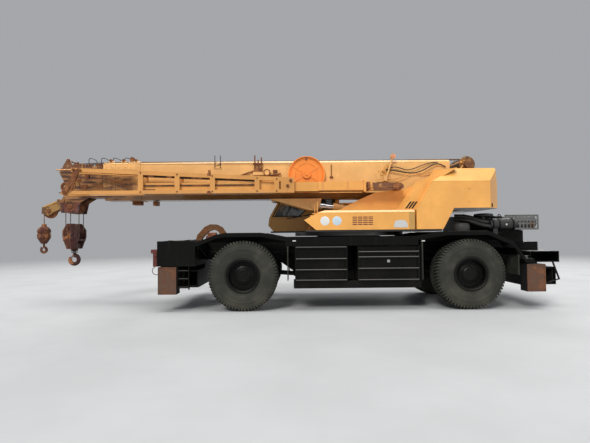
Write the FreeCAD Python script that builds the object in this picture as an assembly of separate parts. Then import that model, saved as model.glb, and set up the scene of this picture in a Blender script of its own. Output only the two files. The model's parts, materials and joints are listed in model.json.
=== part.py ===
import FreeCAD, Part
import math
import os

# Two-axle rough-terrain mobile crane, parked with its boom level and its folding jib stowed.
# Millimetres. +X is the way the crane drives, +Y is its left side, +Z is up.
# The origin is on the ground, under the slewing axis, midway between the axles.

V = FreeCAD.Vector
PARTS_DIR = "parts"
AXIS = {"x": V(1, 0, 0), "y": V(0, 1, 0), "z": V(0, 0, 1)}
SIDES = (("l", 1), ("r", -1))

# Clearances
SEAT = 0.3  # a moving piece above what carries it
PIN_FIT = 0.05  # radial play of a pin or spindle in its bore
RUN = 8.0  # room beside a sliding piece
MOVE_GAP = 6.0  # room between pieces that pass each other

# Wheels, tyres and axles
WHEEL_BASE = 4800.0
TRACK = 2460.0
TYRE_OD = 1490.0
TYRE_W = 520.0
TREAD_W = 440.0
TYRE_WALL = 32.0
TYRE_CROWN = 70.0
LUG_COUNT = 23
LUG_SHARE = 0.58  # of the pitch
LUG_H = 24.0
RIM_R = 320.0  # bead seat
RIM_FLANGE_R = 356.0
RIM_W = 470.0
RIM_T = 14.0
DISC_INSET = 150.0  # wheel disc behind the outer flange
DISC_T = 26.0
HUB_R = 205.0
HUB_CAP_R = 150.0
HUB_CAP_PROUD = 105.0
SPINDLE_R = 60.0
SPINDLE_L = 230.0
KINGPIN_INSET = 70.0  # kingpin axis inboard of the rim's inner edge
KINGPIN_R = 35.0
KNUCKLE_HALF_X = 100.0
KNUCKLE_HALF_Z = 160.0
YOKE_T = 48.0
YOKE_HALF_X = 88.0
STEER_ARM_L = 290.0
STEER_ARM_W = 84.0
STEER_ARM_T = 56.0
AXLE_BEAM_HALF_X = 145.0
AXLE_BEAM_HALF_Z = 165.0
DIFF_R = 285.0
DIFF_L = 380.0
SPRING_Y = 380.0
SPRING_W = 100.0
SPRING_HALF_L = 640.0
SPRING_LEAF_H = 70.0

# Chassis frame
FRAME_HALF_W = 440.0
FRAME_T = 16.0
FRAME_TOP = 1400.0
FRAME_LOW = 760.0
FRAME_OVER_AXLE = TYRE_OD - 440
FRAME_DEEP_HALF_L = 1330.0
FRAME_RISE_L = 400.0
FRAME_FRONT_X = 4180.0
FRAME_REAR_X = -4370.0
SLEW_RING_R = 760.0
SLEW_RING_BORE = 600.0
SLEW_RING_TOP = 1600.0
DRIVE_SHAFT_R = 55.0
GEARBOX_L = 700.0

# Outriggers: transverse boxes, each with two beams side by side
BEAM_W = 330.0
BEAM_H = 330.0
BEAM_T = 16.0
BEAM_INNER_OVERHANG = 60.0  # a beam's tail inside the far mouth of its box
OUTRIGGER_WALL = 20.0
OUTRIGGER_BOX_Z = 485.0
HOUSING_L = 385.0  # jack housing along the crane
HOUSING_W = 300.0  # jack housing across the crane
FACE_RIM = 18.0  # raised rim round the housing's end plate
FACE_SUNK = 6.0
HOUSING_Z0 = 372.0
HOUSING_Z1 = 945.0
JACK_TUBE_R = 84.0
JACK_SINK = 14.0  # float plate above the housing's lower edge when it is up
JACK_ROD_R = 62.0
FLOAT_L = 336.0
FLOAT_W = 250.0
FLOAT_T = 40.0
OUTRIGGER_REACH = 1490.0  # outer face of the jack housing from the centre line
OUTRIGGER_BOX_HALF_Y = OUTRIGGER_REACH - 320
FRONT_LEFT_BEAM_X = 3985.0
REAR_LEFT_BEAM_X = -3760.0
BEAM_PITCH = 395.0  # from the left beam to the right one

# Tow eyes
TOW_EYE_Y = 1000.0
TOW_EYE_Z = 745.0
TOW_EYE_OUT = 52.0
TOW_EYE_R = 48.0
TOW_EYE_BORE_R = 21.0
TOW_EYE_T = 36.0

# Carrier body
BODY_HALF_W = 1470.0
FRONT_BODY_X0 = 3400.0
FRONT_BODY_X1 = 4200.0
FRONT_BODY_Z0 = 960.0
FRONT_BODY_TOP = 1490.0
SHEET = 14.0
FENDER_LIP = 85.0
FENDER_SHEET = 22.0
FENDER_INNER_Y = 810.0
FENDER_TOP = TYRE_OD + 162
DECK_TOP = 1556.0
DECK_FASCIA = 190.0
REAR_DECK_Z = 1064.0
WHEEL_HOUSE_HALF_L = 880.0
SIDE_BOX_Z0 = 612.0
SIDE_BOX_Z1 = 1350.0
SIDE_BOX_DEPTH = 620.0
SIDE_BOX_INSET = 40.0
TOOL_BOX_X0 = 190.0
TOOL_BOX_X1 = 1300.0
FUEL_BOX_X0 = -1330.0
FUEL_BOX_X1 = -20.0
SILL_H = 140.0
SILL_D = 70.0
RIB_H = 46.0
RIB_PROUD = 26.0

# Engine and what stands on the rear deck
ENGINE_X0 = -3560.0
ENGINE_X1 = -2620.0
ENGINE_HALF_W = 370.0
ENGINE_H = 520.0
HOOD_X0 = -3950.0
HOOD_X1 = -2510.0
HOOD_HALF_W = 600.0
HOOD_TOP = 2000.0
HOOD_REAR_DROP = 330.0
HOOD_NOTCH_X = -3300.0  # front end of the corner cut out of its left rear for the silencer
HOOD_NOTCH_Y = 405.0
HOOD_NOTCH_Z = 1665.0
CLEANER_R = 128.0
CLEANER_X0 = -3560.0
CLEANER_X1 = -3010.0
CLEANER_Y = BODY_HALF_W - 510
CLEANER_Z = 1795.0
MUFFLER_R = 145.0
MUFFLER_X0 = -4200.0
MUFFLER_X1 = -3480.0
MUFFLER_Y = 575.0
MUFFLER_Z = 1850.0
BUMPER_X0 = -4425.0
BUMPER_X1 = -3800.0
BUMPER_Z0 = 968.0
BUMPER_Z1 = 1206.0
BUMPER_HALF_W = 1180.0

# Superstructure
DECK_PLATE_Z0 = 1660.0
DECK_PLATE_T = 40.0
DECK_PLATE_HALF_W = 1340.0
DECK_PLATE_X0 = -1850.0
DECK_PLATE_X1 = 1060.0
SKIRT_R = 1290.0  # dark band under the deck, over the slewing ring
MAST_Y = 480.0  # inner face of each boom-foot plate
MAST_T = 40.0
MAST_REAR_X = -2600.0
FOOT_PIN_X = -2150.0
FOOT_PIN_Z = 2900.0
FOOT_PIN_R = 70.0
CYL_PIN_X = -1540.0
CYL_PIN_Z = 1950.0
CYL_PIN_R = 60.0
ROD_PIN_X = 850.0
ROD_PIN_Z = 2310.0
CYL_Y = 210.0
CYL_TUBE_R = 115.0
CYL_TUBE_L = 1950.0
CYL_ROD_R = 80.0
CYL_EYE_R = 118.0
CYL_EYE_W = 120.0
ROD_EYE_W = 150.0

SIDE_HOOD_OUTER = 1350.0
SIDE_HOOD_INNER = 610.0
SIDE_HOOD_TOP = 2120.0
SIDE_HOOD_FOLD = 48.0  # width of the folded top edge
SIDE_HOOD_X0 = -1267.0
SIDE_HOOD_X1 = 1100.0

REAR_HOOD_OUTER = 1380.0
REAR_HOOD_FRONT = -1300.0
REAR_HOOD_REAR = -3190.0
REAR_HOOD_LOW = 1700.0
REAR_HOOD_BELLY = 2148.0
REAR_HOOD_SHOULDER = 2727.0
REAR_HOOD_TOP = 3046.0
REAR_HOOD_TOP_INSET = 360.0
REAR_HOOD_T = 14.0
COUNTERWEIGHT_X0 = -3260.0
COUNTERWEIGHT_TOP = 2560.0

CAB_X0 = 150.0
CAB_X1 = 1980.0
CAB_INNER_Y = -570.0
CAB_OUTER_Y = -1420.0
CAB_FLOOR = 1700.0
CAB_ROOF = 3270.0
CAB_WALL = 40.0
CAB_SILL = 2060.0
CAB_HIGH_SILL = 2260.0
CAB_HEADER = 3130.0
GLASS_T = 8.0
DOOR_X0 = 620.0
DOOR_GAP = 5.0
HINGE_R = 15.0
HINGE_PIN_R = 8.0
HINGE_L = 60.0
HINGE_Z = (1960.0, 2900.0)

# Boom: a base section and three sections that slide out of it
BOOM_HALF_W = 330.0
BOOM_LOW = 2460.0
BOOM_TOP = 3360.0
BOOM_T = 12.0
BOOM_NEST = 36.0  # step of width and height from one section to the next
BOOM_CORNER = 130.0
BOOM_TAIL_X = -2390.0
BOOM_FRONT_X = 5240.0
COLLAR_L = 290.0
SECTION_TAIL_STEP = 90.0
SECTION_STROKE = 6400.0
HEAD_PIN_X = 6665.0
HEAD_PIN_Z = 2330.0
HEAD_TOP_PIN_X = 6640.0
HEAD_TOP_PIN_Z = 2830.0
HEAD_CHEEK_Y = 236.0
HEAD_CHEEK_T = 24.0
SHEAVE_R = 172.0
SHEAVE_GROOVE_R = 150.0
SHEAVE_T = 46.0
SHEAVE_PIN_R = 40.0
ROOSTER_PIN_X = 7250.0
ROOSTER_PIN_Z = 2230.0
ROOSTER_ARM_Y = 60.0
REEL_X = 1010.0
REEL_Z = 3022.0
REEL_R = 430.0
REEL_W = 120.0

# Jib stowed along the boom's left side
JIB_Y0 = 520.0
JIB_Y1 = 920.0
JIB_FRONT_X = 6300.0
JIB_REAR_X = 1300.0
JIB_CHORD = 90.0
JIB_LOW = 2548.0
JIB_TOP_FRONT = 3150.0
JIB_TOP_REAR = 2885.0
JIB_TUBE_X0 = -280.0
JIB_TUBE_X1 = 4700.0
JIB_TUBE_H = 210.0
JIB_TUBE_W = 230.0
JIB_TUBE_Z = 2690.0
JIB_HEAD_X = -1175.0

# Hook blocks
BLOCK_TOP = 1920.0
BLOCK_H = 610.0
BLOCK_HALF_X = 200.0
BLOCK_HALF_Y = 190.0
BLOCK_CHEEK_T = 40.0
BLOCK_PIN_DROP = 230.0
BLOCK_SHEAVE_Y = (-112.5, 112.5)
HOOK_R = 150.0
HOOK_THICK = 46.0
ROPE_R = 9.0
BALL_TOP = 1920.0
BALL_R = 150.0
BALL_H = 480.0


# Shape helpers
def box(x0, x1, y0, y1, z0, z1):
    return Part.makeBox(x1 - x0, y1 - y0, z1 - z0, V(x0, y0, z0))


def rod(axis, radius, length, at):
    """A cylinder that starts at the point and runs along +axis."""
    return Part.makeCylinder(radius, length, V(*at), AXIS[axis])


def tube(axis, outer, inner, length, at):
    return rod(axis, outer, length, at).cut(rod(axis, inner, length, at))


def prism(plane, points, lo, hi):
    """A polygon in the named plane, drawn out along the third axis from lo to hi."""
    place = {
        "xz": lambda a, b: V(a, lo, b),
        "yz": lambda a, b: V(lo, a, b),
        "xy": lambda a, b: V(a, b, lo),
    }[plane]
    third = {"xz": "y", "yz": "x", "xy": "z"}[plane]
    corners = [place(a, b) for a, b in points]
    face = Part.Face(Part.makePolygon(corners + corners[:1]))
    return face.extrude(AXIS[third] * (hi - lo))


def join(*pieces):
    flat = [p for p in pieces if p is not None]
    shape = flat[0].multiFuse(flat[1:]) if len(flat) > 1 else flat[0]
    return shape.removeSplitter()


def carve(shape, *tools):
    return shape.cut(list(tools)).removeSplitter()


def mirror_y(shape):
    return shape.mirror(V(0, 0, 0), AXIS["y"])


def pair(shape):
    """The same solid on the left and on the right, as one node."""
    return Part.Compound([shape, mirror_y(shape)])


def lathe_y(points, at):
    """A closed outline of (radius, y) turned about a line along Y through the point."""
    corners = [V(at[0] + r, at[1] + y, at[2]) for r, y in points]
    face = Part.Face(Part.makePolygon(corners + corners[:1]))
    return face.revolve(V(*at), AXIS["y"], 360)


def export(name, shape):
    solids = shape.Solids
    for solid in solids:
        if not solid.isValid():
            print("not valid:", name)
    out = solids[0] if len(solids) == 1 else Part.Compound(solids)
    out.exportStep(os.path.join(PARTS_DIR, name + ".step"))
    print(f"{name}: {len(solids)} solids, {sum(s.Volume for s in solids) / 1e9:.3f} m3")


# Wheels, knuckles and axles
AXLE_Z = TYRE_OD / 2
WHEEL_Y = TRACK / 2
RIM_INNER_Y = WHEEL_Y - RIM_W / 2
KINGPIN_Y = RIM_INNER_Y - KINGPIN_INSET
KNUCKLE_FACE_Y = RIM_INNER_Y - KINGPIN_INSET + KNUCKLE_HALF_X
AXLES = (("f", WHEEL_BASE / 2, -1), ("r", -WHEEL_BASE / 2, 1))  # name, x, way the steering arms point


def tyre(x):
    """A left tyre in flat facets, open towards the rim, with bars and grooves across its tread."""
    r, half, tread = TYRE_OD / 2, TYRE_W / 2, TREAD_W / 2
    pitch = math.tau / LUG_COUNT
    facet_fit = 1 / math.cos(pitch * max(LUG_SHARE, 1 - LUG_SHARE) / 2)
    seat = (RIM_R + SEAT) * facet_fit
    bead = RIM_W / 2 - RIM_T - SEAT
    belly = seat + 0.45 * (r - seat)
    shoulder, bar_edge, groove_edge = (0.91 * r, tread + 22), (r, tread - 15), (r - LUG_H, tread - 8)
    left = [
        (r - TYRE_CROWN, tread - 60), (seat, bead - TYRE_WALL), (seat, bead), ((RIM_FLANGE_R + 4) * facet_fit, bead),
        (belly, half), shoulder,
    ]
    across = lambda points: [(a, -b) for a, b in reversed(points)] + points

    def facets(points, start, end):
        near, far = (
            [V(x + a * math.cos(t), WHEEL_Y + b, AXLE_Z + a * math.sin(t)) for a, b in points]
            for t in (start, end)
        )
        for k in range(len(points) - 1):
            yield Part.Face(Part.makePolygon([near[k], near[k + 1], far[k + 1], far[k], near[k]]))

    faces = []
    for k in range(LUG_COUNT):
        start, middle, end = ((k + part) * pitch - math.pi / 2 for part in (0, LUG_SHARE, 1))
        for a, b, edge in ((start, middle, bar_edge), (middle, end, groove_edge)):
            faces += facets(across(left), a, b)
            faces += facets([shoulder, edge, (edge[0], -edge[1]), (shoulder[0], -shoulder[1])], a, b)
        for t in (start, middle):
            flank = [shoulder, bar_edge, (bar_edge[0], -bar_edge[1]), (shoulder[0], -shoulder[1])]
            flank += [(groove_edge[0], -groove_edge[1]), groove_edge, shoulder]
            ring = [V(x + a * math.cos(t), WHEEL_Y + b, AXLE_Z + a * math.sin(t)) for a, b in flank]
            faces.append(Part.Face(Part.makePolygon(ring)))
    solid = Part.makeSolid(Part.makeShell(faces))
    if solid.Volume < 0:
        solid.reverse()
    return solid.removeSplitter()


def rim(x):
    """A left rim: barrel with two flanges, an inset disc, and the planetary hub with its cap."""
    half = RIM_W / 2
    disc_y = half - DISC_INSET
    barrel = [
        (RIM_R, half - RIM_T), (RIM_FLANGE_R, half - RIM_T), (RIM_FLANGE_R, half), (RIM_R - RIM_T, half),
        (RIM_R - RIM_T, -half), (RIM_FLANGE_R, -half), (RIM_FLANGE_R, -half + RIM_T), (RIM_R, -half + RIM_T),
    ]
    disc = [
        (HUB_R - 10, disc_y), (RIM_R - RIM_T, disc_y),
        (RIM_R - RIM_T, disc_y + DISC_T), (HUB_R - 10, disc_y + DISC_T),
    ]
    bore = SPINDLE_R + PIN_FIT
    hub_back = KNUCKLE_FACE_Y + SEAT - WHEEL_Y
    bore_end = hub_back + SPINDLE_L + RUN
    cap_y = disc_y + HUB_CAP_PROUD
    hub = [
        (bore, hub_back), (HUB_CAP_R, hub_back), (HUB_R, disc_y - 60), (HUB_R, disc_y + 40), (HUB_CAP_R, disc_y + 62),
        (HUB_CAP_R, cap_y - 16), (HUB_CAP_R - 24, cap_y), (0, cap_y), (0, bore_end), (bore, bore_end),
    ]
    at = (x, WHEEL_Y, AXLE_Z)
    return join(lathe_y(barrel, at), lathe_y(disc, at), lathe_y(hub, at))


def knuckle(x, arm_way):
    """A left knuckle: block with two kingpin stubs, spindle and steering arm."""
    block = box(
        x - KNUCKLE_HALF_X, x + KNUCKLE_HALF_X, KINGPIN_Y - KNUCKLE_HALF_X + 20, KNUCKLE_FACE_Y,
        AXLE_Z - KNUCKLE_HALF_Z, AXLE_Z + KNUCKLE_HALF_Z,
    )
    pin_half = KNUCKLE_HALF_Z + MOVE_GAP + YOKE_T
    kingpin = rod("z", KINGPIN_R, 2 * pin_half, (x, KINGPIN_Y, AXLE_Z - pin_half))
    spindle = rod("y", SPINDLE_R, SPINDLE_L, (x, KNUCKLE_FACE_Y, AXLE_Z))
    ends = sorted((x + arm_way * KNUCKLE_HALF_X * 0.6, x + arm_way * STEER_ARM_L))
    arm = box(
        ends[0], ends[1], KINGPIN_Y - STEER_ARM_W / 2, KINGPIN_Y + STEER_ARM_W / 2,
        AXLE_Z - STEER_ARM_T / 2, AXLE_Z + STEER_ARM_T / 2,
    )
    return join(block, kingpin, spindle, arm)


def axle(x):
    """Axle beam with its differential bowl, and a yoke with two ears at each end."""
    ear_in = AXLE_Z + KNUCKLE_HALF_Z + MOVE_GAP
    beam_end = KINGPIN_Y - KNUCKLE_HALF_X - 60
    ear_end = KINGPIN_Y + KINGPIN_R + 42
    beam = box(
        x - AXLE_BEAM_HALF_X, x + AXLE_BEAM_HALF_X, -beam_end, beam_end, AXLE_Z - 130, AXLE_Z + AXLE_BEAM_HALF_Z,
    )
    bowl = rod("x", DIFF_R, DIFF_L, (x - DIFF_L / 2, 0, AXLE_Z))
    ears = []
    for way in (1, -1):
        end_plate = box(
            x - AXLE_BEAM_HALF_X, x + AXLE_BEAM_HALF_X, *sorted((way * (beam_end - 40), way * beam_end)),
            AXLE_Z - KNUCKLE_HALF_Z - MOVE_GAP - YOKE_T, ear_in + YOKE_T,
        )
        ears.append(end_plate)
        for z0 in (ear_in, 2 * AXLE_Z - ear_in - YOKE_T):
            y0, y1 = sorted((way * (beam_end - 40), way * ear_end))
            ears.append(box(x - YOKE_HALF_X, x + YOKE_HALF_X, y0, y1, z0, z0 + YOKE_T))
    bores = [
        rod("z", KINGPIN_R + PIN_FIT, 4 * AXLE_Z, (x, way * KINGPIN_Y, -AXLE_Z)) for way in (1, -1)
    ]
    return carve(join(beam, bowl, *ears), *bores)


def spring(x):
    """A leaf spring pack from the axle's top to the frame's underside, with its two hangers."""
    low = AXLE_Z + AXLE_BEAM_HALF_Z
    outline = [
        (x - SPRING_HALF_L, FRAME_OVER_AXLE), (x - SPRING_HALF_L, FRAME_OVER_AXLE - 60), (x - 190, low), (x + 190, low),
        (x + SPRING_HALF_L, FRAME_OVER_AXLE - 60), (x + SPRING_HALF_L, FRAME_OVER_AXLE),
        (x + SPRING_HALF_L - 70, FRAME_OVER_AXLE), (x + 180, low + SPRING_LEAF_H), (x - 180, low + SPRING_LEAF_H),
        (x - SPRING_HALF_L + 70, FRAME_OVER_AXLE),
    ]
    return prism("xz", outline, SPRING_Y - SPRING_W / 2, SPRING_Y + SPRING_W / 2)


def running_gear():
    for end, x, arm_way in AXLES:
        for side, way in SIDES:
            place = (lambda s: s) if way > 0 else mirror_y
            export(f"tyre_{end}{side}", place(tyre(x)))
            export(f"rim_{end}{side}", place(rim(x)))
            export(f"knuckle_{end}{side}", place(knuckle(x, arm_way)))
    export("axles", Part.Compound([axle(x) for _, x, _ in AXLES]))
    springs = [s for _, x, _ in AXLES for s in pair(spring(x)).Solids]
    export("springs", Part.Compound(springs))


# Chassis frame
def frame_outline(inset=0.0):
    """The box girder's side outline: deep between the axles, shallow over them."""
    low, over, top = FRAME_LOW + inset, FRAME_OVER_AXLE + inset, FRAME_TOP - inset
    deep, rise = FRAME_DEEP_HALF_L - inset / 2, FRAME_RISE_L
    front, rear = FRAME_FRONT_X - inset, FRAME_REAR_X + inset
    return [
        (rear, over), (-deep - rise, over), (-deep, low), (deep, low), (deep + rise, over), (front, over),
        (front, top), (rear, top),
    ]


def beam_floor():
    return OUTRIGGER_BOX_Z + OUTRIGGER_WALL


def outrigger_box(left_x):
    """A transverse box with two channels, for the left beam and the right one, and webs up to the frame."""
    half = BEAM_W / 2 + RUN
    right_x = left_x - BEAM_PITCH
    lo, hi = right_x - half - OUTRIGGER_WALL, left_x + half + OUTRIGGER_WALL
    top = beam_floor() + SEAT + BEAM_H + RUN + OUTRIGGER_WALL
    y = OUTRIGGER_BOX_HALF_Y
    shell = box(lo, hi, -y, y, OUTRIGGER_BOX_Z, top)
    channels = [
        box(x - half, x + half, -y, y, beam_floor(), top - OUTRIGGER_WALL) for x in (left_x, right_x)
    ]
    web = box(lo, hi, -FRAME_HALF_W, FRAME_HALF_W, top, FRAME_OVER_AXLE - SEAT)
    return carve(join(shell, web), *channels)


def chassis_frame():
    outer = prism("xz", frame_outline(), -FRAME_HALF_W, FRAME_HALF_W)
    inner = prism("xz", frame_outline(FRAME_T), -FRAME_HALF_W + FRAME_T, FRAME_HALF_W - FRAME_T)
    hatch = box(-DIFF_L, DIFF_L, -FRAME_HALF_W / 2, FRAME_HALF_W / 2, FRAME_LOW - FRAME_T, FRAME_LOW + 2 * FRAME_T)
    girder = outer.cut(inner).cut(hatch)
    pedestal = tube("z", SLEW_RING_R, SLEW_RING_BORE - 60, SLEW_RING_TOP - 60 - FRAME_TOP, (0, 0, FRAME_TOP))
    side_arms = []
    for x in (-1200.0, -60.0, 160.0, 1200.0):
        for way in (1, -1):
            inner_y, outer_y = sorted((way * FRAME_HALF_W, way * (BODY_HALF_W - SIDE_BOX_DEPTH)))
            side_arms.append(box(x - 30, x + 30, inner_y, outer_y, SIDE_BOX_Z1 - 260, SIDE_BOX_Z1 - 40))
    return join(girder, pedestal, slew_ring(), *side_arms)


def tow_lugs(face, out):
    """The two bored lugs on an outrigger box's outer face."""
    hole_x = face + out * TOW_EYE_OUT
    lugs = []
    for way in (1, -1):
        y = way * TOW_EYE_Y
        y0, y1 = y - TOW_EYE_T / 2, y + TOW_EYE_T / 2
        body = box(*sorted((face, hole_x)), y0, y1, TOW_EYE_Z - TOW_EYE_R, TOW_EYE_Z + TOW_EYE_R)
        nose = rod("y", TOW_EYE_R, TOW_EYE_T, (hole_x, y0, TOW_EYE_Z))
        hole = rod("y", TOW_EYE_BORE_R, 2 * TOW_EYE_T, (hole_x, y - TOW_EYE_T, TOW_EYE_Z))
        lugs.append(body.fuse(nose).cut(hole))
    return lugs


def outrigger_boxes():
    half = BEAM_W / 2 + RUN + OUTRIGGER_WALL
    front = join(outrigger_box(FRONT_LEFT_BEAM_X), *tow_lugs(FRONT_LEFT_BEAM_X + half, 1))
    rear = join(outrigger_box(REAR_LEFT_BEAM_X), *tow_lugs(REAR_LEFT_BEAM_X - BEAM_PITCH - half, -1))
    return Part.Compound([front, rear])


def slew_ring():
    """The bearing's lower ring, with its teeth as one band, on the frame's pedestal."""
    low = SLEW_RING_TOP - 60
    ring = tube("z", SLEW_RING_R - 20, SLEW_RING_BORE, SLEW_RING_TOP - low, (0, 0, low))
    band = tube("z", SLEW_RING_R + 12, SLEW_RING_R - 30, 28, (0, 0, low))
    return join(ring, band)


def drive_line():
    """Gearbox under the frame's middle, and a shaft from it to each axle."""
    half = GEARBOX_L / 2
    case = box(-half, half, -240, 240, FRAME_LOW - 260, FRAME_LOW)
    z = FRAME_LOW - 160
    shafts = []
    for way in (1, -1):
        start = (way * half, 0, z)
        end = V(way * (WHEEL_BASE / 2 - DIFF_L / 2 - 5), 0, AXLE_Z)
        run = end - V(*start)
        shafts.append(Part.makeCylinder(DRIVE_SHAFT_R, run.Length, V(*start), run))
    return join(case, *shafts)


def outriggers():
    ends = (("f", FRONT_LEFT_BEAM_X), ("r", REAR_LEFT_BEAM_X))
    for end, left_x in ends:
        for side, way in SIDES:
            x = left_x if way > 0 else left_x - BEAM_PITCH
            place = (lambda s: s) if way > 0 else mirror_y
            export(f"outrigger_{end}{side}", place(outrigger_beam(x)))
            export(f"jack_{end}{side}", place(jack(x)))


def outrigger_beam(x):
    """A left beam: hollow box section, jack housing at its end, and the jack's fixed tube."""
    z0 = beam_floor() + SEAT
    tail = -OUTRIGGER_BOX_HALF_Y + BEAM_INNER_OVERHANG
    face = OUTRIGGER_REACH
    back = face - HOUSING_W
    half = BEAM_W / 2
    section = box(x - half, x + half, tail, back, z0, z0 + BEAM_H)
    hollow = box(x - half + BEAM_T, x + half - BEAM_T, tail, back - 120, z0 + BEAM_T, z0 + BEAM_H - BEAM_T)
    housing = box(x - HOUSING_L / 2, x + HOUSING_L / 2, back, face, HOUSING_Z0, HOUSING_Z1)
    centre = (x, face - HOUSING_W / 2, HOUSING_Z0)
    cavity = box(
        x - HOUSING_L / 2 + BEAM_T, x + HOUSING_L / 2 - BEAM_T, back + BEAM_T, face - BEAM_T,
        HOUSING_Z0, HOUSING_Z1 - BEAM_T,
    )
    barrel_z = HOUSING_Z0 + JACK_SINK + FLOAT_T + MOVE_GAP
    barrel = rod("z", JACK_TUBE_R, HOUSING_Z1 - barrel_z, (x, centre[1], barrel_z))
    pocket = box(
        x - HOUSING_L / 2 + FACE_RIM, x + HOUSING_L / 2 - FACE_RIM, face - FACE_SUNK, face + 1,
        HOUSING_Z0 + FACE_RIM, HOUSING_Z1 - FACE_RIM,
    )
    shell = section.cut(hollow).multiFuse([housing.cut(cavity), barrel]).cut(pocket).removeSplitter()
    return carve(shell, rod("z", JACK_ROD_R + PIN_FIT, HOUSING_Z1 - BEAM_T - HOUSING_Z0, centre))


def jack(x):
    """A left jack: its rod, with a float plate that sits in the housing's mouth when it is up."""
    y = OUTRIGGER_REACH - HOUSING_W / 2
    z0 = HOUSING_Z0 + JACK_SINK
    plate = box(x - FLOAT_L / 2, x + FLOAT_L / 2, y - FLOAT_W / 2, y + FLOAT_W / 2, z0, z0 + FLOAT_T)
    shank = rod("z", JACK_ROD_R, HOUSING_Z1 - BEAM_T - MOVE_GAP - z0, (x, y, z0))
    return join(plate, shank)


# Carrier body
def fender_line(drop=0.0):
    """The deck's side line from the front body to the rear deck, as (x, z), lowered by drop."""
    line = [
        (FRONT_BODY_X0, FRONT_BODY_TOP - 40), (2960.0, FENDER_TOP - 30), (2780.0, FENDER_TOP), (2000.0, FENDER_TOP),
        (1540.0, DECK_TOP), (-1280.0, DECK_TOP), (-1910.0, FENDER_TOP), (-2790.0, FENDER_TOP), (-3310.0, 1425.0),
        (-3560.0, REAR_DECK_Z), (BUMPER_X1 + 60, REAR_DECK_Z),
    ]
    return [(x, z - drop) for x, z in line]


def fenders():
    """Left deck and fenders: one bent sheet from end to end, with a deeper lip along its outer edge."""
    outline = fender_line() + list(reversed(fender_line(FENDER_SHEET)))
    lip = fender_line() + list(reversed(fender_line(FENDER_LIP)))
    sheet = prism("xz", outline, FENDER_INNER_Y, BODY_HALF_W)
    edge = prism("xz", lip, BODY_HALF_W - FENDER_SHEET, BODY_HALF_W)
    fascia = box(
        -1300, 1500, BODY_HALF_W - FENDER_SHEET, BODY_HALF_W, DECK_TOP - DECK_FASCIA, DECK_TOP - FENDER_SHEET,
    )
    gussets = [
        box(x - 10, x + 10, FRAME_HALF_W, BODY_HALF_W - FENDER_SHEET, z - 170, z - FENDER_SHEET)
        for x, z in ((3340.0, 1475.0), (1440.0, DECK_TOP - 4), (-1290.0, DECK_TOP - 4), (-3400.0, 1300.0))
    ]
    below = fender_line(2) + [(BUMPER_X1, 0), (FRONT_BODY_X0, 0)]
    under = prism("xz", below, FENDER_INNER_Y, FENDER_INNER_Y + SHEET)
    house_l = WHEEL_HOUSE_HALF_L
    houses = [
        under.common(box(x - house_l, x + house_l, 0, BODY_HALF_W, TYRE_OD - 50, 2 * TYRE_OD))
        for _, x, _ in AXLES
    ]
    flaps = [
        box(x0, x0 + 16, FENDER_INNER_Y + 120, BODY_HALF_W - FENDER_SHEET - 3, low, high)
        for x0, low, high in ((1444.0, 640.0, 1392.0), (-1400.0, 640.0, 1568.0), (-3424.0, 720.0, 1160.0))
    ]
    return pair(join(sheet, edge, fascia, *gussets, *houses, *flaps))


def lamp_post():
    """Left front corner post with its lamp on top."""
    post = box(FRONT_BODY_X1, FRONT_BODY_X1 + 90, BODY_HALF_W - 130, BODY_HALF_W - 40, FRONT_BODY_Z0, 1240)
    lamp = box(FRONT_BODY_X1, FRONT_BODY_X1 + 130, BODY_HALF_W - 160, BODY_HALF_W - 20, 1240, 1310)
    return join(post, lamp)


def front_lamps():
    """Headlamps, indicators and the slatted grille on the front face."""
    face = FRONT_BODY_X1
    lamps = [rod("x", 108, 32, (face, y, 1170)) for y in (-920.0, -660.0, 660.0, 920.0)]
    for _, w in SIDES:
        y0, y1 = sorted((w * (BODY_HALF_W - 370), w * (BODY_HALF_W - 230)))
        lamps.append(box(face, face + 22, y0, y1, 1130, 1210))
    rails = [box(face, face + 18, -430, 430, z, z + 16) for z in (1000.0, 1294.0)]
    slats = [box(face, face + 12, -430, 430, 1020 + 34 * k, 1036 + 34 * k) for k in range(8)]
    return lamps + rails + slats


def hanging_step(x):
    """A left step under the front box: two plates with three rungs."""
    y0, y1 = BODY_HALF_W - 70, BODY_HALF_W - SEAT
    plates = [box(x + d - 8, x + d + 8, y0, y1, 470, FRONT_BODY_Z0 - SEAT) for d in (-115, 115)]
    rungs = [box(x - 115, x + 115, y0, y1, z, z + 22) for z in (500.0, 680.0, 850.0)]
    return join(*plates, *rungs)


def front_body():
    """The sheet box over the front outrigger, open below, with lids, corner lamps, grille and steps."""
    shell = box(FRONT_BODY_X0, FRONT_BODY_X1, -BODY_HALF_W, BODY_HALF_W, FRONT_BODY_Z0, FRONT_BODY_TOP)
    room = box(
        FRONT_BODY_X0 + SHEET, FRONT_BODY_X1 - SHEET, -BODY_HALF_W + SHEET, BODY_HALF_W - SHEET,
        FRONT_BODY_Z0, FRONT_BODY_TOP - SHEET,
    )
    gap = MOVE_GAP
    girder = box(FRAME_REAR_X, FRAME_FRONT_X, -FRAME_HALF_W, FRAME_HALF_W, OUTRIGGER_BOX_Z, FRAME_TOP)
    lids = [
        box(FRONT_BODY_X0 + 90, FRONT_BODY_X1 - 90, y - 330, y + 330, FRONT_BODY_TOP, FRONT_BODY_TOP + gap)
        for y in (570 - BODY_HALF_W, BODY_HALF_W - 570)
    ]
    body = carve(join(shell.cut(room), *lids, lamp_post(), mirror_y(lamp_post()), *front_lamps()), girder)
    left, right = hanging_step(FRONT_LEFT_BEAM_X - BEAM_PITCH + 60), hanging_step(FRONT_LEFT_BEAM_X - 20)
    return Part.Compound([body, left, mirror_y(right)])


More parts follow.
